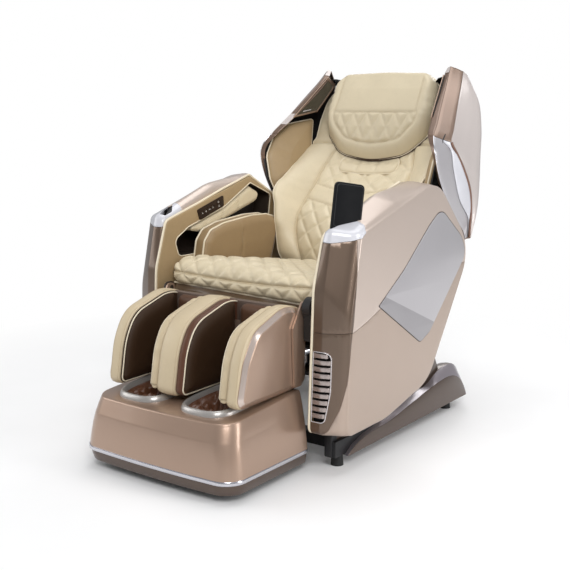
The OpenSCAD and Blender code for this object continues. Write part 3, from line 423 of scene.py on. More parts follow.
class Mat:
    """A node material built up from a Principled shader."""

    def __init__(self, name, rough=0.5, metal=0.0, **sockets):
        self.mat = bpy.data.materials.new(name)
        self.mat.use_nodes = True
        self.nt = self.mat.node_tree
        self.out = self.nt.nodes["Principled BSDF"]
        self.out.inputs["Roughness"].default_value = rough
        self.out.inputs["Metallic"].default_value = metal
        for k, v in sockets.items():
            self.out.inputs[k.replace("_", " ")].default_value = v
        self.coord = self.nt.nodes.new("ShaderNodeTexCoord").outputs["Object"]
        self.height = None

    def node(self, kind, **sockets):
        n = self.nt.nodes.new("ShaderNode" + kind)
        for k, v in sockets.items():
            s = n.inputs[k.replace("_", " ")]
            if hasattr(v, "is_linked"):
                self.nt.links.new(v, s)
            else:
                s.default_value = v
        return n

    def noise(self, scale, detail=3, rough=0.5, stretch=None, distort=0.0):
        vec = self.coord
        if stretch:
            vec = self.node("Mapping", Vector=self.coord, Scale=stretch).outputs[0]
        return self.node("TexNoise", Vector=vec, Scale=scale, Detail=detail, Roughness=rough,
                         Distortion=distort).outputs["Fac"]

    def voronoi(self, scale, feature="F1", rand=1.0):
        n = self.node("TexVoronoi", Vector=self.coord, Scale=scale, Randomness=rand)
        n.feature = feature
        return n.outputs["Distance"]

    def math(self, op, a, b=0.5):
        n = self.nt.nodes.new("ShaderNodeMath")
        n.operation = op
        for s, v in zip(n.inputs, (a, b)):
            if hasattr(v, "is_linked"):
                self.nt.links.new(v, s)
            else:
                s.default_value = v
        return n.outputs[0]

    def ramp(self, fac, stops):
        n = self.nt.nodes.new("ShaderNodeValToRGB")
        self.nt.links.new(fac, n.inputs[0])
        e = n.color_ramp.elements
        while len(e) < len(stops):
            e.new(0.5)
        for q, (pos, col) in zip(e, stops):
            q.position = pos
            q.color = col if isinstance(col, tuple) else (col, col, col, 1)
        return n.outputs["Color"]

    def mix(self, fac, a, b, how="MIX"):
        n = self.nt.nodes.new("ShaderNodeMix")
        n.data_type = "RGBA"
        n.blend_type = how
        for i, v in ((0, fac), (6, a), (7, b)):
            if hasattr(v, "is_linked"):
                self.nt.links.new(v, n.inputs[i])
            else:
                n.inputs[i].default_value = v
        return n.outputs[2]

    def edges(self, color, edge_highlight, amount=0.35):
        """Convex edges a little lighter, found from Pointiness: a painted highlight along the edges."""
        g = self.nt.nodes.new("ShaderNodeNewGeometry")
        fac = self.ramp(g.outputs["Pointiness"], [(0.53, 0.0), (0.62, amount)])
        return self.mix(fac, color, edge_highlight)

    def bump(self, height, strength, distance):
        n = self.node("Bump", Strength=strength, Distance=distance, Height=height)
        if self.height:
            self.nt.links.new(self.height, n.inputs["Normal"])
        self.height = n.outputs[0]

    def finish(self, color, rough=None):
        self.nt.links.new(color, self.out.inputs["Base Color"])
        if rough is not None:
            self.nt.links.new(rough, self.out.inputs["Roughness"])
        if self.height:
            self.nt.links.new(self.height, self.out.inputs["Normal"])
        return self.mat


def tint(c, k):
    return tuple(min(1, x * k) for x in c[:3]) + (1,)


def paint(name, color, metal=0.45, rough=0.34, coat=0.5, flake=0.06):
    m = Mat(name, rough, metal, Coat_Weight=coat, Coat_Roughness=0.09, Specular_IOR_Level=0.5)
    spark = m.voronoi(2600)
    c = m.mix(m.ramp(spark, [(0.1, 0.0), (0.7, 1.0)]), tint(color, 1 - flake), tint(color, 1 + flake))
    c = m.mix(m.ramp(m.noise(3.0, 2), [(0.35, 0.0), (0.65, 1.0)]), c, m.mix(0.5, c, tint(color, 0.94)))
    # Painted highlight: convex edges a little lighter.
    c = m.edges(c, tint(color, 1.25), 0.3)
    m.bump(m.noise(420, 2), 0.10, 0.0002)
    r = m.ramp(m.noise(7, 3), [(0.3, rough - 0.03), (0.7, rough + 0.03)])
    return m.finish(c, r)


def leather(name, color, rough=0.46, sheen=0.08, grain=1.0, coat=0.10, spec=0.45):
    m = Mat(name, rough, 0.0, Sheen_Weight=sheen, Sheen_Roughness=0.4, Coat_Weight=coat, Coat_Roughness=0.35,
            Specular_IOR_Level=spec)
    cells = m.voronoi(760 * grain, "DISTANCE_TO_EDGE")
    pores = m.noise(1500 * grain, 2)
    folds = m.noise(38, 4, 0.55, distort=0.6)
    c = m.mix(m.ramp(m.noise(5, 3), [(0.3, 0.0), (0.7, 1.0)]), tint(color, 0.95), tint(color, 1.03))
    # The grain's creases and the fold valleys are painted darker: painted shade over the grain's own pattern.
    c = m.mix(m.ramp(cells, [(0.0, 0.28), (0.16, 0.0)]), c, tint(color, 0.78))
    c = m.mix(m.ramp(folds, [(0.36, 0.18), (0.5, 0.0)]), c, tint(color, 0.84))
    # Painted highlight: convex edges a little lighter.
    c = m.edges(c, tint(color, 1.08), 0.25)
    m.bump(m.ramp(cells, [(0.0, 0.0), (0.22, 1.0)]), 0.22, 0.00022)
    m.bump(pores, 0.10, 0.00015)
    m.bump(folds, 0.16, 0.0016)
    r = m.ramp(m.noise(60, 3), [(0.3, rough - 0.06), (0.7, rough + 0.07)])
    return m.finish(c, r)


def plastic(name, color, rough=0.4, coat=0.0, texture=0.12, metal=0.0, spec=0.5):
    m = Mat(name, rough, metal, Coat_Weight=coat, Coat_Roughness=0.06, Specular_IOR_Level=spec)
    c = m.mix(m.ramp(m.noise(9, 3), [(0.3, 0.0), (0.7, 1.0)]), tint(color, 0.92), tint(color, 1.06))
    # Painted highlight: convex edges a little lighter.
    c = m.edges(c, tint(color, 1.5), 0.3)
    m.bump(m.noise(1700, 2), texture, 0.0002)
    r = m.ramp(m.noise(26, 4), [(0.3, max(rough - 0.04, 0.02)), (0.7, rough + 0.05)])
    return m.finish(c, r)


def metal(name, color, rough=0.22, brushed=None, coat=0.0):
    m = Mat(name, rough, 1.0, Coat_Weight=coat, Coat_Roughness=0.1)
    lines = m.noise(260, 3, stretch=brushed or (1, 1, 1))
    c = m.mix(m.ramp(lines, [(0.3, 0.0), (0.7, 1.0)]), tint(color, 0.93), tint(color, 1.05))
    # Painted highlight: convex edges a little lighter.
    c = m.edges(c, tint(color, 1.15), 0.4)
    m.bump(lines, 0.05, 0.0001)
    r = m.ramp(m.noise(300, 3, stretch=brushed or (1, 1, 1)),
               [(0.3, max(rough - 0.05, 0.03)), (0.7, rough + 0.07)])
    return m.finish(c, r)


CHAMPAGNE = paint("champagne_paint", srgb(202, 186, 175), metal=0.45, rough=0.34, coat=0.4)
# A darker copy of the champagne paint for the arm's lower shell: painted shade.
CHAMPAGNE_SHADED = paint("champagne_paint_shaded", srgb(180, 161, 147), metal=0.45, rough=0.34, coat=0.4)
BRONZE = paint("bronze_paint", srgb(168, 142, 124), metal=0.6, rough=0.33, coat=0.38)
COLUMN = paint("column_paint", srgb(106, 88, 74), metal=0.6, rough=0.32, coat=0.42)
WING = paint("wing_paint", srgb(202, 193, 189), metal=0.3, rough=0.36, coat=0.35)
# A darker copy of the front strip's paint: painted shade on the facet that faces inward, also used on the
# wing's end caps and lip.
STRIP_SHADED = paint("strip_paint_shaded", srgb(124, 102, 88), metal=0.55, rough=0.33, coat=0.35)
STRIP_FRONT = paint("strip_front_paint", srgb(146, 124, 110), metal=0.55, rough=0.34, coat=0.35)
RIM = paint("rim_silver", srgb(178, 174, 170), metal=0.55, rough=0.32, coat=0.4)
SHELL = paint("rear_shell_paint", srgb(110, 94, 84), metal=0.4, rough=0.42, coat=0.25)
SATIN = paint("satin_silver", srgb(190, 187, 190), metal=0.55, rough=0.34, coat=0.25)
# A darker copy of the satin for the inlay's band below the fold: painted shade.
SATIN_SHADED = paint("satin_silver_shaded", srgb(160, 157, 160), metal=0.55, rough=0.36, coat=0.25)
BORDER = paint("border_brown", srgb(124, 94, 80), metal=0.5, rough=0.34, coat=0.4)
# A lighter copy of the bronze for the calf panels' front bevel: a painted highlight.
BEVEL = paint("bevel_bronze_highlight", srgb(206, 190, 180), metal=0.65, rough=0.24, coat=0.5)
RAILTOP = paint("rail_silver", srgb(158, 150, 156), metal=0.6, rough=0.3, coat=0.35)
SLAT = paint("slat_paint", srgb(168, 156, 152), metal=0.7, rough=0.24, coat=0.5)
SILVER = paint("bright_silver", srgb(226, 225, 228), metal=0.45, rough=0.32, coat=0.4)
CHROME = metal("chrome", srgb(225, 225, 230), 0.12)
BAND = metal("band_metal", srgb(205, 204, 210), 0.2, brushed=(0.05, 1, 12))
GLASSY = plastic("white_gloss", srgb(208, 208, 214), 0.2, coat=0.6, texture=0.02)
BLACK_GLASS = plastic("black_glass", srgb(12, 13, 16), 0.5, texture=0.02, spec=0.15)
BLACK = plastic("black_plastic", srgb(22, 20, 20), 0.5, texture=0.2)
GROOVE = plastic("groove_brown", srgb(62, 52, 48), 0.5, texture=0.1)
# A dark brown that stands in for shade: painted shade in the forearm troughs and on the seat frame.
SHADE_BROWN = plastic("dark_trough_painted_shade", srgb(50, 40, 32), 0.55, texture=0.25)
FRAME = plastic("frame_black", srgb(34, 34, 36), 0.5, texture=0.3, metal=0.2)
RUBBER = plastic("rubber", srgb(24, 24, 24), 0.75, texture=0.4)
RED = plastic("rocker_red", srgb(150, 26, 20), 0.35, coat=0.3)
CREAM = leather("cream_leather", srgb(219, 205, 175))
CREAM_HEAD = leather("cream_leather_head", srgb(206, 193, 165))
CREAM_CALF = leather("cream_leather_calf", srgb(200, 183, 152))
TAN = leather("tan_leather", srgb(168, 144, 108), rough=0.44)
TAN_HIP = leather("tan_leather_hip", srgb(154, 129, 94), rough=0.44)
COCOA = leather("dark_leather", srgb(56, 38, 24), rough=0.5, coat=0.04, sheen=0.0, spec=0.22)
APRON = leather("apron_vinyl", srgb(104, 84, 64), rough=0.34, coat=0.35)
PIPE = leather("piping_leather", srgb(233, 221, 196), rough=0.4, grain=1.6)
THREAD = leather("thread", srgb(172, 150, 116), rough=0.7, grain=2.0, coat=0.0)
ICON = plastic("icon_light", srgb(224, 218, 210), 0.3, coat=0.4)
STEEL = metal("steel", srgb(170, 172, 178), 0.3)
ROLLER = plastic("roller_cream", srgb(222, 216, 200), 0.35)
PANEL_BROWN = plastic("panel_brown", srgb(40, 25, 18), 0.45, coat=0.1, texture=0.02, spec=0.2)
SCREEN = plastic("screen_black", srgb(10, 11, 14), 0.5, texture=0.01, spec=0.12)


# ------------------------------------------------------------ camera, light and stage
camera = bpy.data.objects.new("camera", bpy.data.cameras.new("camera"))
bpy.context.scene.collection.objects.link(camera)
camera.data.sensor_width = 36
camera.data.lens = 972 / 570 * 36
camera.data.clip_end = 60
camera.location = (1.881, -2.689, 1.071)
camera.rotation_euler = (radians(90 - 10.21), 0, radians(36.12))
bpy.context.scene.camera = camera
bpy.context.scene.view_settings.view_transform = "Standard"


def area_light(name, place, look_at, size, power):
    data = bpy.data.lights.new(name, "AREA")
    data.shape = "RECTANGLE"
    data.size, data.size_y = size
    data.energy = power
    ob = bpy.data.objects.new(name, data)
    ob.location = place
    ob.rotation_euler = (Vector(look_at) - Vector(place)).to_track_quat("-Z", "Y").to_euler()
    bpy.context.scene.collection.objects.link(ob)


area_light("key", (2.6, -3.2, 3.4), (0, 0, 0.6), (2.0, 2.0), 105)
area_light("fill", (-3.6, -2.4, 2.0), (0, 0, 0.6), (2.6, 2.4), 46)
area_light("side_strip", (3.6, 0.2, 1.5), (0.2, 0, 0.6), (0.7, 2.4), 42)
area_light("top", (0, 0.4, 4.2), (0, 0, 0), (3.2, 3.2), 70)
area_light("rear", (-1.2, 4.0, 2.6), (0, 0, 0.7), (2.6, 1.6), 48)

world = bpy.data.worlds.new("world")
bpy.context.scene.world = world
world.use_nodes = True
wn = world.node_tree
back = wn.nodes["Background"]
back.inputs["Color"].default_value = (0.72, 0.73, 0.75, 1)
back.inputs["Strength"].default_value = 0.5
white = wn.nodes.new("ShaderNodeBackground")
white.inputs["Color"].default_value = (1, 1, 1, 1)
rays = wn.nodes.new("ShaderNodeLightPath")
seen = wn.nodes.new("ShaderNodeMath")
seen.operation = "MAXIMUM"
wn.links.new(rays.outputs["Is Camera Ray"], seen.inputs[0])
wn.links.new(rays.outputs["Is Transmission Ray"], seen.inputs[1])
both = wn.nodes.new("ShaderNodeMixShader")
wn.links.new(seen.outputs[0], both.inputs[0])
wn.links.new(back.outputs[0], both.inputs[1])
wn.links.new(white.outputs[0], both.inputs[2])
wn.links.new(both.outputs[0], wn.nodes["World Output"].inputs["Surface"])

floor_mesh = bpy.data.meshes.new("floor")
floor_mesh.from_pydata([(-14, -14, 0), (14, -14, 0), (14, 14, 0), (-14, 14, 0)], [], [(0, 1, 2, 3)])
floor = bpy.data.objects.new("floor", floor_mesh)
bpy.context.scene.collection.objects.link(floor)
fm = Mat("floor_pale", 0.6)
pale = fm.ramp(fm.noise(2.2, 3), [(0.3, (0.90, 0.90, 0.90, 1)), (0.7, (0.93, 0.93, 0.93, 1))])
fm.finish(pale)
# Far from the chair the floor is seen as plain white; near it, it keeps the shadow.
flt = fm.nt
length = flt.nodes.new("ShaderNodeVectorMath")
length.operation = "LENGTH"
flt.links.new(fm.coord, length.inputs[0])
far = fm.ramp(fm.math("MULTIPLY", length.outputs["Value"], 0.25), [(0.24, 0.0), (0.52, 1.0)])
seen_ray = flt.nodes.new("ShaderNodeLightPath")
amount = fm.math("MULTIPLY", far, seen_ray.outputs["Is Camera Ray"])
glow = flt.nodes.new("ShaderNodeEmission")
glow.inputs["Color"].default_value = (1, 1, 1, 1)
blend = flt.nodes.new("ShaderNodeMixShader")
flt.links.new(amount, blend.inputs[0])
flt.links.new(fm.out.outputs[0], blend.inputs[1])
flt.links.new(glow.outputs[0], blend.inputs[2])
flt.links.new(blend.outputs[0], flt.nodes["Material Output"].inputs["Surface"])
floor_mesh.materials.append(fm.mat)


# ------------------------------------------------------------ arms
# The left arm is built; the right one is its mirror. Outlines run (F, Z, radius).
ARM_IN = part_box("arm_upper_shell_left")[0].x / MM
ARM_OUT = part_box("arm_inlays")[1].x / MM
EDGE = [(325, 123, 22), (345, 560, 150), (394, 714, 28), (632, 781, 300), (836, 838, 14), (1012, 744, 50),
        (860, 196, 120), (600, 124, 320)]
INNER = [(325, 123, 22), (345, 560, 150), (384, 729, 26), (640, 820, 300), (872, 846, 60), (1075, 690, 80),
         (860, 196, 120), (600, 124, 320)]
OUTER = [(370, 120, 30), (384, 470, 240), (440, 715, 22), (655, 777, 300), (905, 848, 140), (1165, 600, 120),
         (875, 182, 150), (600, 122, 320)]
ring_in, straights = outline(INNER, 10, pitch=16)
ring_edge, _ = outline(EDGE, 10, edges=straights)
ring_out, _ = outline(OUTER, 10, edges=straights)
PROFILE = [(0, 0.0), (0.8, 0.0), (2, 0.001), (4, 0.002), (8, 0.004), (14, 0.006), (20, 0.009), (26, 0.012),
           (31, 0.016), (32.6, 0.024), (34.4, 0.040), (48, 0.19), (60, 0.325), (72, 0.465), (83, 0.60),
           (88, 0.70), (92, 0.82), (94.4, 0.90), (96.4, 0.95), (98.0, 0.985), (98.8, 1.0)]


def arm_ring(dx, w, shrink=0.0):
    near = max(0.0, 1 - dx / 30.0)
    near = 1 - sqrt(1 - near * near)
    p = (ring_edge * near + ring_in * (1 - near)) * (1 - w) + ring_out * w
    if shrink:
        p = p + (p.mean(axis=0) - p) * shrink
    return [((ARM_IN + dx) * MM, fy(q[0]), q[1] * MM) for q in p]


rings = [arm_ring(dx, w) for dx, w in PROFILE]
rings += [arm_ring(99.8, 1, 0.004), arm_ring(100.6, 1, 0.012), arm_ring(101.1, 1, 0.03)]
rings += [arm_ring(101.5, 1, s) for s in (0.08, 0.16, 0.28, 0.42, 0.58, 0.74, 0.88)]
arm_skin = loft("arm_skin", rings, None, [], cap_high=True, angle=60)
solid = clone(arm_skin, "arm_solid", None, [])
close_ends(solid.data)
thicken(arm_skin, 4, -1, 60)

SEAM = [(275, 430), (405, 434), (440, 443), (475, 453), (560, 483)]
upper = SEAM + [(765, 500), (1250, 575), (1250, 1000), (275, 1000)]
edge_line = lambda g: [(334 + g, -20), (337 + g, 138), (354 + g, 200), (374 + g, 280), (388 + g, 400),
                       (401 + g, 470), (412 + g, 560), (426 + g, 690), (457 + g, 1000)]
cap = [(275, 683), (380, 693), (440, 705), (462, 719), (479, 740), (483, 1000), (275, 1000)]
GAP = 1.3


def region(parts, name):
    """The shell inside a set of side outlines: (outline, keep)."""
    ob = clone(arm_skin, name, None, [])
    for k, (points, keep) in enumerate(parts):
        cutter = side_prism("cutter", points, 280, 460)
        boolean(ob, cutter, "INTERSECT" if keep else "DIFFERENCE")
        drop(cutter)
    return ob


front_part = lambda g: [(250, -20)] + edge_line(g) + [(250, 1000)]
cap_low = lambda g: [(a, b - g) for a, b in cap[:5]] + [(483 + g, 1000), (275, 1000)]
upper_low = lambda g: ([(a, b + g) for a, b in upper[:5]]
                       + [(765, 500 + g), (1250, 575 + g), (1250, 1000), (275, 1000)])
shells = {
    "arm_upper": region([(upper_low(GAP / 2), True), (front_part(GAP), False), (cap_low(GAP), False)],
                        "arm_upper"),
    "arm_lower": region([(upper_low(-GAP / 2), False), (front_part(GAP), False)], "arm_lower"),
    "column_upper": region([(upper_low(GAP / 2), True), (front_part(0), True), (cap_low(GAP), False)],
                           "column_upper"),
}
lower_column = region([(upper_low(-GAP / 2), False), (front_part(0), True)], "column_lower")
VENT = (ARM_IN + 3, ARM_IN + 60, 166, 376)
VX0, VX1, VZ0, VZ1 = VENT
vent_form = lambda e: outline([(VX0 - 1 + e, VZ0 - 2 + e, 3), (VX1 - 13 - e, VZ0 - 2 + e, 14 - e),
                               (VX1 + 1 - e, VZ0 + 92, 160),
                               (VX1 + 1 - e, VZ1 + 2 - e, 24 - e), (VX0 - 1 + e, VZ1 + 2 - e, 3)], 6,
                              pitch=30)[0]
hole_ob = loft("hole", [[(p[0] * MM, fy(f), p[1] * MM) for p in vent_form(1.2)] for f in (285, 370)], None,
               [], True, True)
boolean(lower_column, hole_ob, "DIFFERENCE")
drop(hole_ob)
shells["column_lower"] = lower_column
for ob in shells.values():
    bevel(ob, 0.9)

SIDES = (("left", False), ("right", True))
SIGNS = ((1, "left"), (-1, "right"))
for side, mirror in SIDES:
    up = clone(shells["arm_upper"], "arm_top_" + side, "carriage", CHAMPAGNE, mirror)
    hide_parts("arm_upper_shell_" + side)
    # The lower shell takes the darker champagne: painted shade.
    lo = clone(shells["arm_lower"], "arm_base_" + side, "carriage", CHAMPAGNE_SHADED, mirror)
    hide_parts("arm_lower_shells")
    for part in ("upper", "lower"):
        col = clone(shells["column_" + part], "column_%s_%s" % (part, side), "carriage", COLUMN,
                    mirror)
        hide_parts("front_columns")

# Satin inlays; the band below the fold is a darker copy of the satin: painted shade.
INLAY = [(540, 489, 3), (806, 327, 26), (870, 352, 40), (1124, 582, 90), (1085, 645, 120), (930, 752, 62),
         (850, 704, 200), (690, 580, 400)]
inlay_line, _ = outline(INLAY, 8, pitch=12)
inlay_mid = inlay_line.mean(axis=0)
fold_cut = side_prism("fold_cut", [(400, 586), (400, 200), (1100, 200), (1100, 294), (879, 386), (596, 504)],
                      400, 440)
for side, mirror in SIDES:
    sheet = flat_plate("inlay_form", inlay_line, [], side_place(ARM_OUT - 3.2), 3.2, 1.2, None, [],
                       False, 3)
    for label, how in (("upper_", "DIFFERENCE"), ("lower_", "INTERSECT")):
        part = clone(sheet, "inlay_cut", None, [])
        boolean(part, fold_cut, how)
        # The band below the fold takes the darker satin: painted shade.
        piece = clone(part, "inlay_" + label + side, "carriage", SATIN
                      if how == "DIFFERENCE" else SATIN_SHADED, mirror)
        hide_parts("arm_inlays")
        drop(part)
    drop(sheet)
    flat_plate("inlay_groove_" + side, inlay_line + (inlay_line - inlay_mid) * 0.0105, [],
               side_place(ARM_OUT - 3.6), 2.2, 0.3, "carriage", GROOVE, mirror, 1)
drop(fold_cut)

# Vents: a bright frame with slats that lean inward
def vent_plane(a, b, h):
    """a across, b up in mm, h out of the front face in metres."""
    w = np.interp(a - ARM_IN, [q[0] for q in PROFILE], [q[1] for q in PROFILE])
    return Vector((a * MM, fy(325 + 45 * w + (b - 123) * (0.0458 - 0.014 * w)) - h, b * MM))


vent_out, vent_in, vent_line = vent_form(0), vent_form(3.2), vent_form(1.9)
SLATS = 10
pitch = (VZ1 - VZ0 - 10) / SLATS
for side, mirror in SIDES:
    rim = flat_plate("vent_rim_" + side, vent_out, [vent_in], lambda a, b, h: vent_plane(a, b, h - 1 * MM),
                     3.4, 1.0, "carriage", SLAT, mirror, 2)
    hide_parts("vent_grilles")
    tube("vent_line_" + side, [vent_plane(p[0], p[1], 0.0020) for p in vent_line], 0.0009, "carriage",
         SILVER, closed=True, sides=8, mirror=mirror)
    verts, faces = [], []
    for k in range(SLATS):
        z0 = VZ0 + 6 + k * pitch
        section = [(0.0045, z0 + pitch * 0.98), (0.0030, z0 + pitch * 0.34), (0.0008, z0 + pitch * 0.26),
                   (-0.012, z0 + pitch * 0.10), (-0.012, z0 + pitch * 0.22), (-0.001, z0 + pitch * 0.98)]
        base = len(verts)
        low_cut = 13 * min(1.0, max(0.0, 1 - (z0 - VZ0) / 92)) ** 1.3
        top_cut = 9 * max(0.0, (z0 + pitch - VZ1 + 16) / 12)
        reach = VX1 - 2.5 - low_cut - top_cut
        for i, x in enumerate(np.linspace(VX0 + 2, reach, 9)):
            knob = 0.0022 if i == 7 else 0.0
            verts += [tuple(vent_plane(x, z, h - 0.003 + knob * (n in (0, 1))))
                      for n, (h, z) in enumerate(section)]
        faces += grid_faces(9, 6, wrap=True, base=base) + [tuple(range(base, base + 6)),
                                                           tuple(range(base + 48, base + 54))]
    slats = make("vent_slats_" + side, verts, faces, "carriage", SLAT, 30, mirror)
    bevel(slats, 0.5)
    corners = [(VX0 - 2, VZ0 - 4), (VX1 + 2, VZ0 - 4), (VX1 + 2, VZ1 + 4), (VX0 - 2, VZ1 + 4)]
    make("vent_backing_" + side, [tuple(vent_plane(x, z, h)) for h in (-0.016, -0.020) for x, z in corners],
         [(0, 1, 2, 3), (7, 6, 5, 4), (0, 4, 5, 1), (1, 5, 6, 2), (2, 6, 7, 3), (3, 7, 4, 0)],
         "carriage", BLACK, 30, mirror)

# Padded inner panels with their piping, and the troughs for the forearms
PANEL_X = ARM_IN - 10.3
PANEL = [(326, 130, 22), (347, 560, 150), (396, 711, 28), (634, 778.5, 300), (836, 835, 14), (1006, 744, 40),
         (1040, 600, 60), (868, 200, 150), (600, 131, 300)]
CHANNEL = [(450, 588, 20), (430, 645, 24), (500, 683, 24), (690, 736, 150), (838, 812, 14), (960, 762, 16),
           (930, 586, 18)]
panel_line, _ = outline(PANEL, 10, pitch=12)
channel_line, _ = outline(CHANNEL, 8, pitch=12)
for side, mirror in SIDES:
    panel = flat_plate("inner_panel_" + side, panel_line, [channel_line], side_place(PANEL_X), 10, 3.4,
                       "carriage", TAN, mirror, 4)
    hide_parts("arm_inner_panel_" + side)
    tube("panel_piping_" + side, [(ARM_IN * MM - 0.0040, fy(p[0]),
                                   (p[1] + 3.5 * np.interp(p[0], [560, 680], [0, 1]) *
                                    (p[1] > 700)) * MM) for p in
                                  panel_line + (panel_line - panel_line.mean(axis=0)) * 0.006], 0.0042,
         "carriage", PIPE, closed=True, mirror=mirror)
    tube("trough_edge_" + side, [(PANEL_X * MM + 0.0004, fy(p[0]), p[1] * MM) for p in channel_line], 0.0020,
         "carriage", PIPE, closed=True, mirror=mirror, sides=8)
    depth = [PANEL_X + 1, PANEL_X + 20, PANEL_X + 60, ARM_IN + 64, ARM_IN + 68, ARM_IN + 70]
    inside = [[(x * MM, fy(p[0]), p[1] * MM) for p in channel_line] for x in depth[:4]]
    mid = channel_line.mean(axis=0)
    for x, k in ((depth[4], 0.05), (depth[5], 0.12), (depth[5], 0.6)):
        inside.append([(x * MM, fy(q[0]), q[1] * MM) for q in channel_line + (mid - channel_line) * k])
    # The trough is lined in the dark brown: painted shade in the recess.
    trough = loft("trough_" + side, inside, "carriage", SHADE_BROWN, cap_high=True, mirror=mirror)
    thicken(trough, 3, 1)

# Forearm pads, quilted across
PAD = [(500, 674, 8), (672, 724, 100), (838, 800, 18), (898, 772, 22), (884, 744, 20), (720, 696, 200),
       (566, 658, 12)]
pad_line, _ = outline(PAD, 8, pitch=9)
pad_seams = [[(b - 18, 640), (b + 24, 830)] for b in (604, 688, 772)]
for side, mirror in SIDES:
    def pad_front(p, d):
        h = 13 * rounding(d, 17)
        for s in pad_seams:
            h = h - 3.4 * crease(nearest(p, s), 5.0) * np.clip(d / 8, 0, 1)
        return h
    pad = radial_pad("forearm_pad_" + side, pad_line, pad_front, lambda p, d: -60 * rounding(d, 6),
                     lambda a, b, h: Vector((PANEL_X * MM + 0.0145 - h, fy(a), b * MM)),
                     "carriage", CREAM, rings=30, mirror=mirror)
    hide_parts("forearm_pads")
    tube("forearm_piping_" + side, [(PANEL_X * MM + 0.0135, fy(p[0]), p[1] * MM) for p in
         pad_line + (pad_line.mean(axis=0) - pad_line) * 0.012], 0.0017, "carriage", PIPE,
         closed=True, sides=8, mirror=mirror)


# ------------------------------------------------------------ wings
# Stations run from the apex down to the tip, in the backrest's own frame (x, y, z) in metres.
# Columns: the inner edge of the front strip, its bright line, the joint of the satin and the glossy piece,
# the outer edge, the middle of the side, the rear outer edge and the rear inner edge.
WING_LINES = [
    [(.250, -.172, .848), (.262, -.177, .851), (.281, -.162, .852), (.300, -.146, .850), (.310, -.128, .848),
     (.306, -.110, .845), (.270, -.090, .843)],
    [(.246, -.178, .800), (.270, -.183, .800), (.291, -.168, .800), (.312, -.154, .800), (.336, -.132, .800),
     (.338, -.108, .800), (.285, -.060, .800)],
    [(.256, -.194, .735), (.284, -.197, .735), (.306, -.183, .735), (.328, -.168, .738), (.364, -.130, .742),
     (.372, -.088, .743), (.295, -.015, .745)],
    [(.275, -.219, .648), (.305, -.221, .648), (.328, -.205, .648), (.350, -.186, .650), (.388, -.125, .652),
     (.394, -.058, .655), (.295, .030, .660)],
    [(.296, -.241, .570), (.325, -.243, .570), (.348, -.225, .570), (.371, -.203, .572), (.398, -.115, .576),
     (.400, -.024, .582), (.298, .060, .595)],
    [(.316, -.260, .504), (.340, -.262, .504), (.362, -.240, .506), (.385, -.214, .511), (.4015, -.100, .515),
     (.4015, .013, .522), (.305, .085, .530)],
    [(.350, -.252, .440), (.365, -.256, .436), (.382, -.198, .488), (.391, -.160, .494), (.4025, -.060, .485),
     (.402, .038, .478), (.310, .100, .475)],
    [(.357, -.176, .382), (.371, -.180, .376), (.387, -.142, .437), (.3965, -.100, .475),
     (.4030, -.020, .452), (.402, .062, .430), (.315, .105, .420)],
    [(.364, -.046, .336), (.377, -.049, .330), (.390, -.050, .382), (.399, -.024, .444), (.4030, .025, .412),
     (.402, .076, .380), (.320, .105, .370)],
    [(.370, .050, .324), (.381, .050, .318), (.392, .040, .361), (.399, .030, .392), (.4015, .057, .366),
     (.401, .081, .345), (.330, .100, .340)],
    [(.378, .082, .302), (.385, .082, .296), (.392, .082, .303), (.398, .082, .307), (.4005, .085, .307),
     (.400, .088, .306), (.365, .092, .300)]]
LINING = [(.275, -.130), (.300, -.125), (.325, -.110), (.343, -.090), (.355, -.085), (.362, -.080),
          (.366, -.070), (.370, -.030), (.374, .020), (.378, .060), (.380, .084)]
STRIP_END = 5


def wing_line(column, first=0, last=None, per=9):
    """One column of the wing as a smooth line in the backrest's frame."""
    points = [row[column] for row in WING_LINES]
    line = smooth_line(points, (len(points) - 1) * per)
    last = len(points) - 1 if last is None else last
    return line[first * per:last * per + 1]


def wing_patch(name, columns, first, last, mat, across=4, crown=0.0, inset=0.0, mirror=False, thick=2.6,
               smooth=False):
    """A panel between columns, kept a gap away from its neighbours and given a wall."""
    lines = [wing_line(c, first, last) for c in columns]
    rows = []
    for k in range(len(lines[0])):
        pts = [line[k] for line in lines]
        if smooth:
            row = smooth_line(pts, across * (len(pts) - 1))
        else:
            row = [a + (b - a) * t / across for a, b in zip(pts, pts[1:]) for t in range(across)] + [pts[-1]]
        rows.append(np.array(row))
    rows = np.array(rows)
    if inset:
        for side_a, side_b in ((0, 1), (-1, -2)):
            d = rows[:, side_b] - rows[:, side_a]
            rows[:, side_a] += d * (inset * MM / np.maximum(np.linalg.norm(d, axis=1), 1e-6))[:, None]
            d = rows[side_b] - rows[side_a]
            rows[side_a] += d * (inset * MM / np.maximum(np.linalg.norm(d, axis=1), 1e-6))[:, None]
    verts = [on_back(*p) for row in rows for p in row]
    ob = make(name, [tuple(v) for v in verts], grid_faces(len(rows), len(rows[0])), "backrest", mat, 30,
              False)
    mesh = ob.data
    middle = on_back(0.33, 0.0, 0.55)
    facing = sum((Vector(f.center) - middle).dot(f.normal) * f.area for f in mesh.polygons)
    if facing < 0:
        mesh.flip_normals()
    if crown:
        n = [v.normal.copy() for v in mesh.vertices]
        a, b = len(rows), len(rows[0])
        for i, v in enumerate(mesh.vertices):
            s, t = (i // b) / (a - 1), (i % b) / (b - 1)
            v.co += n[i] * crown * MM * (16 * s * (1 - s) * t * (1 - t)) ** 0.6
    wall = ob.modifiers.new("wall", "SOLIDIFY")
    wall.thickness = thick * MM
    wall.offset = -1
    wall.use_even_offset = False
    bake(ob, 34)
    bevel(ob, 0.8, 2, 40)
    if mirror:
        mirror_mesh(ob.data)
    return ob


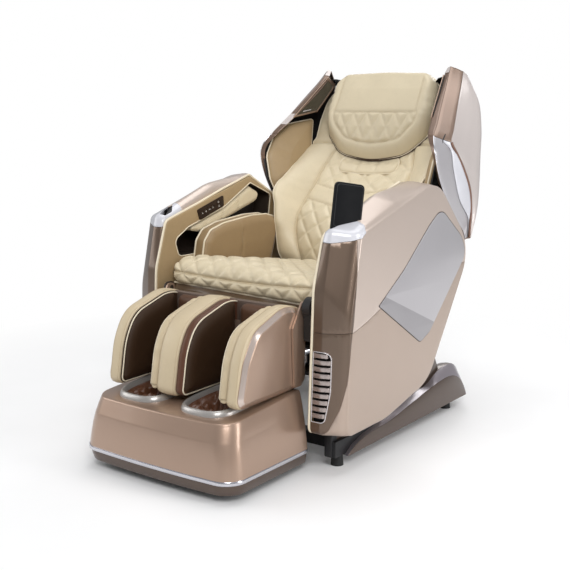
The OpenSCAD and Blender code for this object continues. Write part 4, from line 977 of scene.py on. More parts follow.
for side, mirror in SIDES:
    shell = wing_patch("wing_shell_" + side, (3, 4, 5, 6), 0, 10, WING, across=7, inset=0.6,
                       mirror=mirror, smooth=True)
    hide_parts("wing_shells")
    rows = []
    for k, row in enumerate(WING_LINES):
        front, back = Vector(row[0]), Vector(row[6])
        depth, at = LINING[k]
        lip = front + Vector((0.006, 0.004, 0))
        step = Vector((depth - 0.008, front.y + (0.030 if 0 < k < 8 else 0.012), front.z))
        rows.append([lip, step, Vector((depth, at, (front.z + back.z) / 2)), back])
    lines = [smooth_line([r[c] for r in rows], 60) for c in range(4)]
    sheet = [smooth_line([line[k] for line in lines], 18) for k in range(61)]
    wall = make("wing_lining_" + side, [tuple(on_back(*p)) for r in sheet for p in r], grid_faces(61, 19),
                "backrest", BLACK, 40, mirror)
    thicken(wall, 1.6, 0)
    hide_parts("wing_shells")
    for label, row in (("top", WING_LINES[0]), ("tip", WING_LINES[-1])):
        ring = [on_back(*row[c]) for c in (1, 2, 3, 4, 5, 6)] + [on_back(*row[0])]
        inner = [p + (on_back(*WING_LINES[5][2]) - p).normalized() * 0.003 for p in ring]
        n = len(ring)
        make("wing_%s_%s" % (label, side), [tuple(p) for p in ring + inner],
             [tuple(range(n)), tuple(range(n, 2 * n))] + grid_faces(2, n, wrap=True), "backrest",
             STRIP_SHADED, 30, mirror)
    # The inner facet takes the darker strip paint: painted shade.
    for name, columns in (("wing_strip_inner_", (0, 1)), ("wing_strip_front_", (1, 3))):
        strip = wing_patch(name + side, columns, 0, STRIP_END, STRIP_FRONT
                           if columns[0] else STRIP_SHADED, inset=0.7, mirror=mirror)
        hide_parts("wing_strips")
    satin = wing_patch("wing_satin_" + side, (1, 2), STRIP_END, 10, SATIN, inset=0.8,
                       mirror=mirror)
    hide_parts("wing_inlays")
    glass = wing_patch("wing_gloss_" + side, (2, 3), STRIP_END, 10, GLASSY, across=8,
                       crown=5.0, inset=1.0, mirror=mirror)
    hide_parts("wing_inlays")
    wing_patch("wing_lip_" + side, (0, 1), STRIP_END, 10, STRIP_SHADED, inset=0.5, mirror=mirror)
    # A thin chrome cord along the lower inner edge of the wing: a painted highlight where that edge catches the
    # light.
    tube("wing_bright_line_" + side, [on_back(p[0], p[1] - 0.0008, p[2]) for p in wing_line(1, STRIP_END, 8)],
         0.0020, "backrest", CHROME, sides=8, mirror=mirror)
    tube("wing_border_" + side, [on_back(p[0] + 0.0004, p[1] - 0.001, p[2])
                                 for p in wing_line(3, STRIP_END, 10)],
         0.0048, "backrest", BORDER, sides=10, mirror=mirror)

    # Pale corner pieces at both ends of the strip
    for k, (low, high) in enumerate(((0, 1), (0, STRIP_END))):
        if k and not mirror:
            continue
        a, b = (wing_line(c, low, high)[31 * k:] for c in (0, 1))
        keep = (0, 5) if k == 0 else (0, 7)
        rows = [[on_back(*(p + (q - p) * t)) + Vector((0, -0.0012, 0)) for t in (0.0, 0.5, 0.97)]
                for p, q in zip(a[keep[0]:keep[1] + 1], b[keep[0]:keep[1] + 1])]
        piece = make("wing_corner_%d_%s" % (k + 1, side), [tuple(v) for r in rows for v in r],
                     grid_faces(len(rows), 3), "backrest", WING, 30, False)
        face_y(piece, -1)
        thicken(piece, 1.4, 0.6, 34)
        if mirror:
            mirror_mesh(piece.data)

# Speaker grilles: a bronze frame round a net of crossed wires
GRILLE = [(.2500, -.182, .815), (.2950, -.240, .588), (.2750, -.139, .684), (.2560, -.122, .822)]
g0, g1, g2 = [Vector(p) for p in GRILLE[:3]]
g_up = (g0 - g1).normalized()
g_in = (g2 - g1) - g_up * (g2 - g1).dot(g_up)
g_in.normalize()
g_out = g_up.cross(g_in)
if g_out.x > 0:
    g_out = -g_out


def grille_place(a, b, h):
    """a along the strip and b away from it in mm, h toward the sitter in metres."""
    p = g1 + g_up * (a * MM) + g_in * (b * MM) + g_out * (h + 0.002)
    return on_back(*p)


grille_flat = [((Vector(p) - g1).dot(g_up) / MM, (Vector(p) - g1).dot(g_in) / MM) for p in GRILLE]
grille_line, _ = outline([(q[0], q[1], 2 if k == 1 else 8) for k, q in enumerate(grille_flat)], 6, pitch=12)
middle = grille_line.mean(axis=0)
grille_in = grille_line + (middle - grille_line) * 0.13
MESH = paint("grille_mesh", srgb(88, 80, 62), metal=0.6, rough=0.36, coat=0.2)


def wires(line, angle, pitch):
    """Parallel chords across an outline."""
    out = []
    d = np.array((cos(angle), sin(angle)))
    n = np.array((-d[1], d[0]))
    level = line @ n
    for s in np.arange(level.min() + pitch / 2, level.max(), pitch):
        hits = []
        for p, q in zip(line, np.roll(line, -1, axis=0)):
            a, b = p @ n - s, q @ n - s
            if a * b < 0:
                hits.append((p + (q - p) * a / (a - b)))
        if len(hits) >= 2:
            hits.sort(key=lambda h: h @ d)
            if (hits[-1] - hits[0]) @ d > 2:
                out.append((hits[0], hits[-1]))
    return out


for side, mirror in SIDES:
    rim = flat_plate("speaker_rim_" + side, grille_line, [grille_in], grille_place, 3.4, 1.2, "backrest",
                     BRONZE, mirror, 3)
    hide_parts("speaker_grilles")
    flat_plate("speaker_back_" + side, grille_line + (middle - grille_line) * 0.05, [],
               lambda a, b, h: grille_place(a, b, h - 0.004), 1.6, 0.4, "backrest", BLACK,
               mirror, 1)
    verts, faces = [], []
    for angle, lift in ((radians(32), 0.0), (radians(-32), 0.0009)):
        for p, q in wires(grille_in, angle, 3.4):
            d = (q - p) / np.linalg.norm(q - p)
            n = np.array((-d[1], d[0])) * 0.62
            base = len(verts)
            for e in (p, q):
                verts += [tuple(grille_place(*(e + n), lift)), tuple(grille_place(*e, lift + 0.0006)),
                          tuple(grille_place(*(e - n), lift)), tuple(grille_place(*e, lift - 0.0006))]
            faces += grid_faces(2, 4, wrap=True, base=base)
            faces += [tuple(range(base, base + 4)), tuple(range(base + 4, base + 8))]
    make("speaker_mesh_" + side, verts, faces, "backrest", MESH, 30, mirror)
    # A small bare badge bar along the wide end
    edge = np.array(grille_flat[2]) - np.array(grille_flat[1])
    side_way = np.array((-edge[1], edge[0])) / np.linalg.norm(edge)
    if side_way @ (middle - grille_flat[1]) < 0:
        side_way = -side_way
    bar, _ = outline([(*(grille_flat[1] + edge * t + side_way * n), 1.6)
                      for t, n in ((0.42, 13), (0.74, 13), (0.74, 16.4), (0.42, 16.4))], 4, pitch=20)
    flat_plate("speaker_badge_" + side, [tuple(p) for p in bar], [],
               lambda a, b, h: grille_place(a, b, h + 0.0016),
               1.2, 0.4, "backrest", SILVER, mirror, 2)

# Shoulder pads, crowned and piped, on a plane that leans in toward the rear
SHOULDER = [(-112, 668, 8), (-200, 586, 60), (-234, 515, 60), (-232, 425, 60), (-186, 352, 60),
            (-140, 312, 30), (-95, 316, 30), (-62, 420, 60), (-78, 560, 60)]
shoulder_line, _ = outline(SHOULDER, 6, pitch=11)


def shoulder_place(a, b, h):
    x = 0.273 + (-0.050 - a * MM) * 0.41
    return on_back(x + 0.004 - h * 0.93, a * MM - h * 0.38, b * MM)


def shoulder_front(p, d):
    seam = crease(nearest(p, [(-205, 470), (-150, 480), (-60, 470)]), 14)
    return 15 * rounding(d, 24) + 9 * np.clip(d / 90, 0, 1) ** 0.8 - 1.5 * seam * np.clip(d / 30, 0, 1)


shoulder_pull = shoulder_line - shoulder_line.mean(axis=0)
shoulder_rim = shoulder_line + shoulder_pull / np.linalg.norm(shoulder_pull, axis=1)[:, None] * 8
for side, mirror in SIDES:
    flat_plate("shoulder_back_" + side, shoulder_rim, [], lambda a, b, h: shoulder_place(a, b, h - 0.011), 4,
               0.8, "backrest", BLACK, mirror, 1)
    pad = radial_pad("shoulder_pad_" + side, shoulder_line, shoulder_front,
                     lambda p, d: -9 * rounding(d, 6), shoulder_place,
                     "backrest", TAN, rings=30, mirror=mirror)
    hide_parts("shoulder_pads")
    tube("shoulder_piping_" + side, [shoulder_place(p[0], p[1], 0.0015) for p in shoulder_line], 0.0030,
         "backrest", PIPE, closed=True, mirror=mirror)


# ------------------------------------------------------------ padded forms
def pad_loft(name, sections, body, mats, mirror=False):
    """A closed cushion from rings of equal count; both ends close in small steps onto their centres."""
    rings = [np.array(s) for s in sections]
    return loft(name, [[tuple(p) for p in r] for r in rings], body, mats, True, True, 70, mirror)


def seam_distance(value, period):
    """Distance in mm to the nearest line of a set of parallel lines."""
    return np.abs((value / period + 0.5) % 1.0 - 0.5) * period


def diamonds(x, z, across, up, shift=0.0):
    """Distance in mm to a diamond grid whose nodes are across by up apart."""
    k = across * up / sqrt(across * across + up * up)
    a = x / across + (z - shift) / up
    b = x / across - (z - shift) / up
    return np.minimum(seam_distance(a, 1.0), seam_distance(b, 1.0)) * k


def quilt(d, puff, width):
    """Height of stuffed panels at a distance d from their seams."""
    return puff * (1 - np.exp(-(np.maximum(d, 0) / width) ** 1.1))


# ------------------------------------------------------------ back cushion
# Lines over the height z of the back, all in mm: the middle of the cushion, the inner seam, the top of the
# side bolster, its outer piping, and the half widths of the seam and the piping.
BACK_Z = [48, 70, 93, 116, 148, 188, 243, 295, 345, 377, 430, 471, 530, 575, 600, 625, 690, 760, 812]
BACK_MID = [-92, -102, -114, -124, -134, -138, -136, -124, -108, -100, -84, -68, -60, -56, -54, -56, -66, -82,
            -96]
BACK_SEAM = [-60, -72, -92, -104, -112, -121, -130, -116, -105, -98, -92, -88, -84, -80, -76, -74, -78, -88,
             -97]
BACK_OUT = [-50, -63, -96, -116, -140, -172, -192, -200, -184, -166, -142, -127, -104, -88, -80, -82, -86,
            -90, -96]
SEAM_X = [128, 138, 148, 158, 172, 186, 193, 196, 196, 195, 192, 188, 176, 160, 150, 148, 148, 146, 140]
OUT_X = [196, 224, 238, 243, 246, 250, 262, 284, 290, 290, 290, 289, 287, 281, 276, 277, 281, 276, 250]


def over(z, values):
    """A smooth value at height z from one of the lists above."""
    zs = np.array(BACK_Z, float)
    v = np.array(values, float)
    slope = np.gradient(v, zs)
    i = np.clip(np.searchsorted(zs, z) - 1, 0, len(zs) - 2)
    h = zs[i + 1] - zs[i]
    t = np.clip((z - zs[i]) / h, 0, 1)
    a, b = t * t * t, t * t
    return ((2 * a - 3 * b + 1) * v[i] + (a - 2 * b + t) * h * slope[i] * 0.8 + (3 * b - 2 * a) * v[i + 1] +
            (a - b) * h * slope[i + 1] * 0.8)


CHEVRON = [(0, 268), (190, 318)]      # lower edge of the plain band: (half width, height)
CHEVRON_TOP = [(0, 342), (190, 392)]


def chevron(x, line):
    return line[0][1] + (line[1][1] - line[0][1]) * np.abs(x) / line[1][0]


def back_front(x, z):
    """Depth (mm, negative toward the sitter) of the back cushion's face."""
    x, z = np.asarray(x, float), np.asarray(z, float)
    ax = np.abs(x)
    mid, seam, out = over(z, BACK_MID), over(z, BACK_SEAM), over(z, BACK_OUT)
    sx, ox = over(z, SEAM_X), over(z, OUT_X)
    t = np.clip(ax / sx, 0, 1)
    y = mid + (seam - mid) * t ** 2.2
    u = np.clip((ax - sx) / (ox - sx), 0, 1.0)
    rise = u * u * (3 - 2 * u)
    bolster = seam + (out - seam) * (0.35 * u + 0.65 * rise)
    y = np.where(ax > sx, bolster, y)
    # the bolster is stuffed; the joint with the middle is a double seam
    swell = 12 * np.sin(pi * np.clip(u, 0, 1)) ** 0.7
    gathers = np.sin(z / 13.0 + 1.7 * np.sin(z / 47.0)) * np.exp(-((u - 0.9) / 0.14) ** 2)
    gathers = gathers + np.sin(z / 9.0 + 2 * np.sin(z / 31.0)) * np.exp(-((u - 0.1) / 0.1) ** 2) * 0.8
    y = y - np.where(ax > sx, swell + gathers, 0)
    d_seam = np.abs(ax - sx)
    y = y + 6.0 * crease(d_seam, 6.0)
    # quilting in the middle
    inside = np.clip((sx - ax) / 14, 0, 1)
    low, high = chevron(x, CHEVRON), chevron(x, CHEVRON_TOP)
    band = (z > low) & (z < high)
    tilt = z - (low - CHEVRON[0][1])
    d_low = diamonds(x, tilt - CHEVRON[0][1], 84, 88)
    d_high = diamonds(x, tilt - CHEVRON_TOP[0][1], 84, 88)
    d = np.where(z < low, d_low, np.where(z > high, d_high, 60.0))
    edge = np.minimum(np.abs(z - low), np.abs(z - high))
    d = np.minimum(d, edge)
    top_off = np.clip((640 - z) / 20, 0, 1)
    y = y - inside * top_off * quilt(d, 8.0, 6.5)
    wrinkle = np.sin(x / 17.0 + z / 29.0) * np.sin(z / 21.0 - x / 37.0)
    y = y - np.where(band, 0.9, 0.3) * wrinkle * inside
    # ruched stretches of the head part, beside the pillow
    head = np.clip((z - 618) / 22, 0, 1)
    pulls = np.maximum(np.sin(z / 12.0 + 1.3 * np.sin(z / 33.0)), -0.4)
    y = y - head * pulls * 6.0 * np.exp(-((u - 0.66) / 0.26) ** 2) * (ax > sx)
    fold = np.exp(-((z - 578 + 0.06 * (ax - 200)) / 6.0) ** 2) * np.clip((ax - sx + 10) / 25, 0, 1)
    return y + 11 * fold


def back_section(z, shrink=1.0, lift=0.0):
    """The closed section of the back cushion at height z."""
    ox = float(over(z, OUT_X))
    sx = float(over(z, SEAM_X))
    half = np.concatenate([np.linspace(0, sx, 46, endpoint=False),
                           sx + (ox - sx) * np.linspace(0, 1, 27) ** 0.92])
    xs = np.concatenate([-half[:0:-1], half]) * shrink
    y = back_front(xs, np.full(len(xs), z)) + lift
    edge = float(y[-1])
    rear = -8.0 if z > 470 else -16.0
    wall = [(1.0, 0.06), (0.998, 0.16), (0.985, 0.35), (0.965, 0.65), (0.93, 0.9)]
    right = [(ox * shrink * k, edge + (rear - edge) * t) for k, t in wall]
    floor_xs = np.linspace(0.88, -0.88, 15) * ox * shrink
    points = list(zip(xs, y)) + right + [(q, rear) for q in floor_xs] + [(-a, b) for a, b in right[::-1]]
    return [tuple(on_back(a * MM, b * MM, z * MM)) for a, b in points]


zs = list(np.arange(BACK_Z[0] + 5, BACK_Z[-1] - 10, 4.6))
sections = [back_section(BACK_Z[0], s, l) for s, l in ((0.80, 26), (0.90, 13), (0.96, 5))]
sections += [back_section(z) for z in zs]
BACK_TOP = [(0, 0.995, 3), (4, 0.985, 9), (7, 0.96, 20), (8, 0.90, 34)]
sections += [back_section(BACK_Z[-1] - 8 + k, s, l) for k, s, l in BACK_TOP]
back_pad = pad_loft("back_cushion_pad", sections, "backrest", CREAM)
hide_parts("back_cushion")


def back_point(x, z, out=0.6):
    return on_back(x * MM, (float(back_front(x, z)) - out) * MM, z * MM)


for side, sign in (("left", 1), ("right", -1)):
    line = [on_back(sign * (float(over(z, OUT_X)) + 0.6) * MM,
                    (float(back_front(over(z, OUT_X), z)) + 2.0) * MM, z * MM)
            for z in np.arange(70, 800, 7)]
    tube("back_piping_" + side, line, 0.0036, "backrest", PIPE)
seam_lines = []
for sign in (1, -1):
    for off in (-3.6, 3.6):
        seam_lines.append([back_point(sign * (float(over(z, SEAM_X)) + off), z, 0.3)
                           for z in np.arange(75, 596, 4)])
for line in (CHEVRON, CHEVRON_TOP):
    for off in (-2.4, 2.4):
        seam_lines.append([back_point(x, float(chevron(x, line)) + off, 0.2)
                           for x in np.arange(-182, 183, 6)])
stitches("back_seam_thread", seam_lines, "backrest", THREAD, up=(0, -0.83, 0.56))

# Ruched neck pad under the pillow
NECK = [(-122, 455, 26), (0, 449, 400), (122, 455, 26), (128, 530, 40), (-128, 530, 40)]
neck_line, _ = outline(NECK, 8, pitch=10)


def neck_base(x, z):
    """The middle of the back without its quilting."""
    t = min(abs(x) / float(over(z, SEAM_X)), 1.0)
    mid = float(over(z, BACK_MID))
    return mid + (float(over(z, BACK_SEAM)) - mid) * t ** 2.2 - 6.0


def neck_front(p, d):
    pulls = 1.6 * np.sin(p[:, 0] / 6.5) * np.exp(-((p[:, 1] - 500) / 16) ** 2)
    folds = 6.0 * (crease(np.abs(p[:, 0] - 36), 5.0) + crease(np.abs(p[:, 0] + 44), 5.0))
    low = np.clip((520 - p[:, 1]) / 34, 0.3, 1)
    return 13 * rounding(d, 18) * low + (pulls - folds) * np.clip(d / 14, 0, 1) * 0.8


neck_pad = radial_pad("neck_pad", neck_line, neck_front, lambda p, d: -6 * rounding(d, 6),
                      lambda a, b, h: on_back(a * MM, neck_base(a, b) * MM - h, b * MM),
                      "backrest", CREAM, rings=26)
tube("neck_piping", [on_back(p[0] * MM, (neck_base(p[0], p[1]) - 1) * MM, p[1] * MM) for p in neck_line],
     0.0026, "backrest", PIPE, closed=True, sides=8)

# ------------------------------------------------------------ head pillow
PILLOW = [(-176, 840, 26), (0, 846, 900), (176, 840, 26), (214, 800, 60), (229, 690, 120), (214, 612, 90),
          (140, 534, 120), (0, 508, 320), (-140, 534, 120), (-214, 612, 90), (-229, 690, 120),
          (-214, 800, 60)]
pillow_line, _ = outline(PILLOW, 8, pitch=9)
PILLOW_SEAM = 668
PILLOW_BORDER = 47


def pillow_rim(z):
    return -76 - (z - 508) * 0.145


def pillow_face(z):
    return np.interp(z, [508, 540, 585, 671, 760, 838], [-98, -112, -134, -166, -176, -180])


def pillow_quilt(x, z):
    """Distance in mm to the seams of the quilted part."""
    top = PILLOW_SEAM
    d = diamonds(x, z - (top - 52), 59, 104, 0)
    return np.minimum(d, np.abs(z - top))


def pillow_front(p, d):
    x, z = p[:, 0], p[:, 1]
    depth = pillow_rim(z) - pillow_face(z)
    reach = np.interp(z, [508, 700, 800, 846], [46, 40, 26, 20])
    h = depth * rounding(d, reach)
    below = np.clip((PILLOW_SEAM - z) / 3, 0, 1)
    h = h - 5.5 * crease(np.abs(d - PILLOW_BORDER), 5.5) * below
    h = h + 4.0 * np.sin(pi * np.clip((d - 6) / (PILLOW_BORDER - 6), 0, 1)) * below
    inner = np.clip((d - PILLOW_BORDER) / 6, 0, 1) * below
    h = h + inner * quilt(pillow_quilt(x, z), 8.5, 8.5) - inner * 3.0
    h = h - 4.5 * crease(np.abs(z - PILLOW_SEAM), 5.0) * np.clip((d - PILLOW_BORDER + 8) / 8, 0, 1)
    side_x = np.interp(z, [PILLOW_SEAM, 840], [172, 168])
    above = np.clip((z - PILLOW_SEAM) / 3, 0, 1)
    h = h - 4.0 * crease(np.abs(np.abs(x) - side_x), 5.0) * above
    outer = np.clip((np.abs(x) - side_x) / 8, 0, 1)
    gather = np.maximum(np.sin(z / 8.5 + 1.6 * np.sin(z / 23.0)), -0.5) * np.exp(-((d - 12) / 16) ** 2)
    h = h - 3.4 * gather * outer * above
    soft = np.sin(x / 26.0 + 0.6 * np.sin(z / 31.0)) * np.sin((z - 660) / 60.0)
    h = h + 1.3 * soft * above * (1 - outer) * np.clip(d / 20, 0, 1)
    return h


pillow = radial_pad("pillow_pad", pillow_line, pillow_front, lambda p, d: -10 * rounding(d, 14),
                    lambda a, b, h: on_back(a * MM, pillow_rim(b) * MM - h, b * MM),
                    "head_pillow", CREAM_HEAD, rings=56, power=1.15, centre=(0, 682))
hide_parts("head_pillow")
tube("pillow_piping", [on_back(p[0] * MM, (pillow_rim(p[1]) - 1.5) * MM, p[1] * MM) for p in pillow_line],
     0.0034, "head_pillow", PIPE, closed=True)

# A narrow dark band below the pillow's edge, laid as a thin dark pad: a painted shadow of the overhanging
# pillow.
spread = np.clip((672 - pillow_line[:, 1]) / 70, 0, 1)[:, None]
pull = pillow_line - np.array([0, 682])
pillow_shadow_line = pillow_line + pull / np.linalg.norm(pull, axis=1)[:, None] * (7.0 * spread - 1.5)
radial_pad("pillow_shadow_band", pillow_shadow_line, lambda p, d: 3.0 * rounding(d, 3), lambda p, d: -9 * rounding(d, 5),
           lambda a, b, h: on_back(a * MM, (pillow_rim(b) - 2.0) * MM - h, b * MM), "head_pillow",
           COCOA, rings=12, centre=(0, 682))


def pillow_point(x, z, out=0.4):
    p = np.array([[x, z]], float)
    d = nearest(p, pillow_line, closed=True)
    return on_back(x * MM, (pillow_rim(z) - float(pillow_front(p, d)[0]) - out) * MM, z * MM)


def inset_line(line, amount, steps=3):
    """An outline moved inward by its own normals."""
    p = np.asarray(line, float)
    for _ in range(steps):
        t = np.roll(p, -1, 0) - np.roll(p, 1, 0)
        t /= np.linalg.norm(t, axis=1)[:, None]
        n = np.stack([-t[:, 1], t[:, 0]], axis=1)
        if ((p.mean(axis=0) - p) * n).sum() < 0:
            n = -n
        p = p + n * amount / steps
    return p


threads = []
for off in (-2.6, 2.6):
    threads.append([pillow_point(x, PILLOW_SEAM + off) for x in np.arange(-171, 172, 5)])
    for s in (1, -1):
        threads.append([pillow_point(s * (172 - (z - 668) * 0.023 + off), z) for z in np.arange(672, 828, 5)])
    u_line = inset_line(pillow_line, PILLOW_BORDER + off)
    run = [p for p in u_line if p[1] < PILLOW_SEAM - 4]
    run.sort(key=lambda p: atan2(p[0], -(p[1] - 700)))
    threads.append([pillow_point(p[0], p[1]) for p in run])
stitches("pillow_thread", threads, "head_pillow", THREAD, up=(0, -0.83, 0.56))

# ------------------------------------------------------------ foot box
FOOT_REAR = 351
RIM_SLOPE = tan(radians(4.5))
SKIRT = paint("skirt_paint", srgb(86, 71, 62), metal=0.5, rough=0.36, coat=0.4)
LINER = leather("liner_leather", srgb(88, 53, 33), rough=0.34, coat=0.4)
UMBER = leather("brown_leather", srgb(86, 58, 40), rough=0.48, coat=0.08, spec=0.3)
BORDER_LEATHER = leather("border_leather", srgb(88, 54, 36), rough=0.46, coat=0.08, spec=0.3)


def foot_ring(half, shift, height, inset=0.0, arc=14, turn=58):
    """A plan ring of the foot box: bowed front, round front corners; height(F) gives its level in mm."""
    half, shift = half + 9, shift - 5
    line, _ = outline([(half, FOOT_REAR, 10), (half, shift, turn), (-half, shift, turn),
                       (-half, FOOT_REAR, 10)], arc, edges=[16, 30, 16, 24])
    x, f = line[:, 0], line[:, 1]
    bow_end = FOOT_REAR * 0.6
    bow = 12 * (1 - np.clip(np.abs(x) / half, 0, 1) ** 2) * np.clip((bow_end - f) / bow_end, 0, 1)
    line = np.stack([x, f - bow], axis=1)
    if inset:
        line = inset_line(line, inset)
    return [(p[0] * MM, fy(p[1]), height(p[1]) * MM) for p in line]


def top_level(drop=0.0):
    return lambda f: 220 + f * RIM_SLOPE - drop


def level(z):
    return lambda f: z


def part_level(t):
    return lambda f: 68 + (220 + f * RIM_SLOPE - 5 - 68) * t


FOOT_WALL = [(0, 285, -10), (.06, 284.2, -9.6), (.3, 279.5, -6.6), (.5, 274.6, -3), (.675, 269.2, 1.4),
             (.70, 268.2, 2.2), (.725, 267.6, 3.6), (.86, 263, 10.0), (.97, 258.4, 15.4), (1, 256.4, 16.8)]
rings = [foot_ring(h, s, part_level(t)) for t, h, s in FOOT_WALL]
FOOT_RIM = [(3.4, 0.5), (1.8, 1.6), (0.7, 3.2), (0.0, 5.4)]
rings += [foot_ring(256.4, 16.8, top_level(d), i) for d, i in FOOT_RIM]
box_skin = loft("foot_box", rings, "footrest", BRONZE, cap_high=True, angle=35)
thicken(box_skin, 4, -1, 35)
WELL = (124, 158, 92, 123)


def oval(a, b, count=72):
    t = np.arange(count) * 2 * pi / count
    k = 2 / 3.1
    return np.stack([a * np.sign(np.cos(t)) * np.abs(np.cos(t)) ** k,
                     b * np.sign(np.sin(t)) * np.abs(np.sin(t)) ** k], axis=1)


for sign in (1, -1):
    line = oval(WELL[2] - 8, WELL[3] - 8)
    rings = [[((sign * WELL[0] + p[0]) * MM, fy(WELL[1] + p[1]), z) for p in line] for z in (0.12, 0.30)]
    cutter = loft("cutter", rings, None, [], True, True)
    boolean(box_skin, cutter, "DIFFERENCE")
    drop(cutter)
shade(box_skin.data, 35)
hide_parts("foot_shell")
for sign, side in SIGNS:
    rod = [(sign * 0.150, fy(335), z) for z in (0.216, 0.300, 0.380, 0.440)]
    tube("foot_rod_" + side, rod, 0.008, "footrest", CHROME, sides=28)

band_rings = [foot_ring(h, s, level(z)) for h, s, z in
              ((279, -4, 56.5), (284.5, -9.6, 56.6), (286.6, -11.6, 58), (287.6, -12.4, 62.5),
               (287.4, -12.2, 67), (286, -11, 70.0), (283, -8, 70.6), (279, -4, 70.6))]
band = loft("foot_band", band_rings + [band_rings[0]], "footrest", BAND, angle=50)
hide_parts("foot_band")
skirt_rings = [foot_ring(h, s, level(z)) for h, s, z in
               ((275, 0, 57), (282.5, -7.6, 57), (283, -8, 55.5), (279.8, -4.6, 38), (277.2, -2, 27),
                (276, -0.8, 25), (272, 3, 25), (272, 3, 40))]
skirt = loft("foot_skirt", skirt_rings + [skirt_rings[0]], "footrest", SKIRT, angle=50)
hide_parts("foot_skirt")
loft("foot_floor", [foot_ring(271, 4, level(34)), foot_ring(271, 4, level(38))], "footrest",
     BLACK, True, True)

for sign, side in SIGNS:
    def around(a, b, lift):
        return [((sign * WELL[0] + p[0]) * MM, fy(WELL[1] + p[1]),
                 (220 + (WELL[1] + p[1]) * RIM_SLOPE + lift) * MM)
                for p in oval(WELL[2] + a, WELL[3] + b)]
    section = [(2.5, -3), (2.8, 0.5), (1.8, 6), (-0.8, 12.0), (-3.0, 15.0), (-6.0, 16.4), (-9.4, 15.6),
               (-12.6, 11.0), (-15.0, 3), (-16.4, -10), (-14.0, -10), (-9, -3)]
    rim = loft("well_rim_" + side, [around(a, a, z) for a, z in section + section[:1]], "footrest",
               RIM, angle=60)
    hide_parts("well_rims")
    # A bowl of soft leather, full of folds
    n, rows = 120, 40
    base = oval(WELL[2] - 15.6, WELL[3] - 15.6, n)
    verts = []
    for layer in (0, 1):
        for r in range(rows):
            k = r / (rows - 1)
            for i, p in enumerate(base):
                t = 2 * pi * i / n
                deep = 2 - 46 * k ** 0.9
                puff = 15 * sin(pi * min(k * 1.6, 1)) * (0.65 + 0.35 * sin(3 * t + sign))
                fold = 6.0 * sin(7 * t + 2.2 * sin(3 * t) + 9 * k) * sin(pi * k) + \
                    3.6 * sin(15 * t - 11 * k + sign) * sin(pi * k) ** 0.7
                q = p * (1 - 0.86 * k) - p / np.linalg.norm(p) * (puff * (1 - k)) * 0.8
                z = deep + fold + puff - layer * 2.2
                f = WELL[1] + q[1]
                verts.append(((sign * WELL[0] + q[0]) * MM, fy(f), (220 + f * RIM_SLOPE + z) * MM))
    faces = grid_faces(rows, n, wrap=True) + [tuple(q[::-1])
                                              for q in grid_faces(rows, n, wrap=True, base=rows * n)]
    for start in (0, (rows - 1) * n):
        faces += [(start + i, start + (i + 1) % n, rows * n + start + (i + 1) % n, rows * n + start + i)
                  for i in range(n)]
    for layer in (0, 1):
        start = layer * rows * n + (rows - 1) * n
        ring = verts[start:start + n]
        verts.append(tuple(np.mean(np.array(ring), axis=0)))
        faces += [(start + i, start + (i + 1) % n, len(verts) - 1)[::1 if layer else -1] for i in range(n)]
    faces = faces[:2 * (rows - 1) * n + n] + faces[2 * (rows - 1) * n + 2 * n:]
    bowl = make("well_liner_" + side, verts, faces, "footrest", LINER, 75)
    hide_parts("well_liners")

# ------------------------------------------------------------ calf unit
CALF = [(60, 248, 24), (84, 385, 220), (128, 466, 120), (285, 514, 140), (372, 492, 25), (372, 252, 6)]
calf_line, _ = outline(CALF, 10, pitch=9)


def calf_ring(x, inset, wave=None, base=None):
    line = calf_line if base is None else base
    line = inset_line(line, inset) if inset else line
    if wave is not None:
        n = len(line)
        mid = line.mean(axis=0)
        d = mid - line
        d /= np.linalg.norm(d, axis=1)[:, None]
        line = line + d * wave[:n, None]
    return [(x * MM, fy(p[0]), p[1] * MM) for p in line]


def calf_slab(name, section, mat, angle=50, sign=1, waves=None, base=None):
    """A slab in the side outline; the section lists (x, inset) in mm from one face to the other."""
    rings = [calf_ring(sign * x, i, None if waves is None else waves * w, base) for x, i, w in
             [(s + (0.0,))[:3] for s in section]]
    ob = loft(name, rings, "legrest", mat, False, False, angle)
    close_ends(ob.data)
    shade(ob.data, angle)
    return ob


side_line, _ = outline([(60, 248, 30), (92, 380, 130), (140, 458, 80), (285, 512, 130), (364, 492, 34),
                        (394, 428, 44), (394, 252, 30)], 10, pitch=9)
arc_s = np.arange(len(calf_line))
GATHER = np.maximum(np.sin(arc_s / 1.15 + 2.0 * np.sin(arc_s / 4.1)), -0.2)
GATHER = GATHER * (0.5 + 0.5 * np.sin(arc_s / 9.0 + 1.0))
panel_section = [(245, 2), (245.6, 0.6), (247, 0), (249.6, 0), (250.6, 0.8), (259.6, 15.0), (260.8, 17.0),
                 (261.6, 20.0)]
band_section = [(209.5, 7), (209.8, 4.5), (211.6, 1.4), (217, -0.6), (227, -1.6), (233, -1.9), (239, -1.6),
                (246.4, 0.4), (248.2, 2.4), (248.6, 6)]
for sign, side in SIGNS:
    panel = calf_slab("calf_panel_" + side, panel_section, [BRONZE, BEVEL], 28, sign,
                      base=side_line)
    # The front, upper faces of the bevel take the lighter bronze: a painted highlight.
    for f in panel.data.polygons:
        x = abs(f.center.x) / MM
        front = f.center.y < fy(330) and f.center.z > 0.262
        f.material_index = 1 if 251 < x < 259.2 and front and len(f.vertices) < 8 else 0
    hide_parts("calf_shells")
    band = calf_slab("calf_band_" + side, band_section, CREAM_CALF, 70, sign)
    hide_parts("calf_pads")
    lines = [[(sign * x * MM, fy(p[0]), p[1] * MM) for p in inset_line(calf_line, i)] for x, i in
             ((214.6, -0.2), (243.6, -0.7))]
    stitches("calf_thread_" + side, [line + line[:1] for line in lines], "legrest", THREAD,
             length=3.0, gap=1.8, radius=0.5, up=(0, -0.5, 1.0))

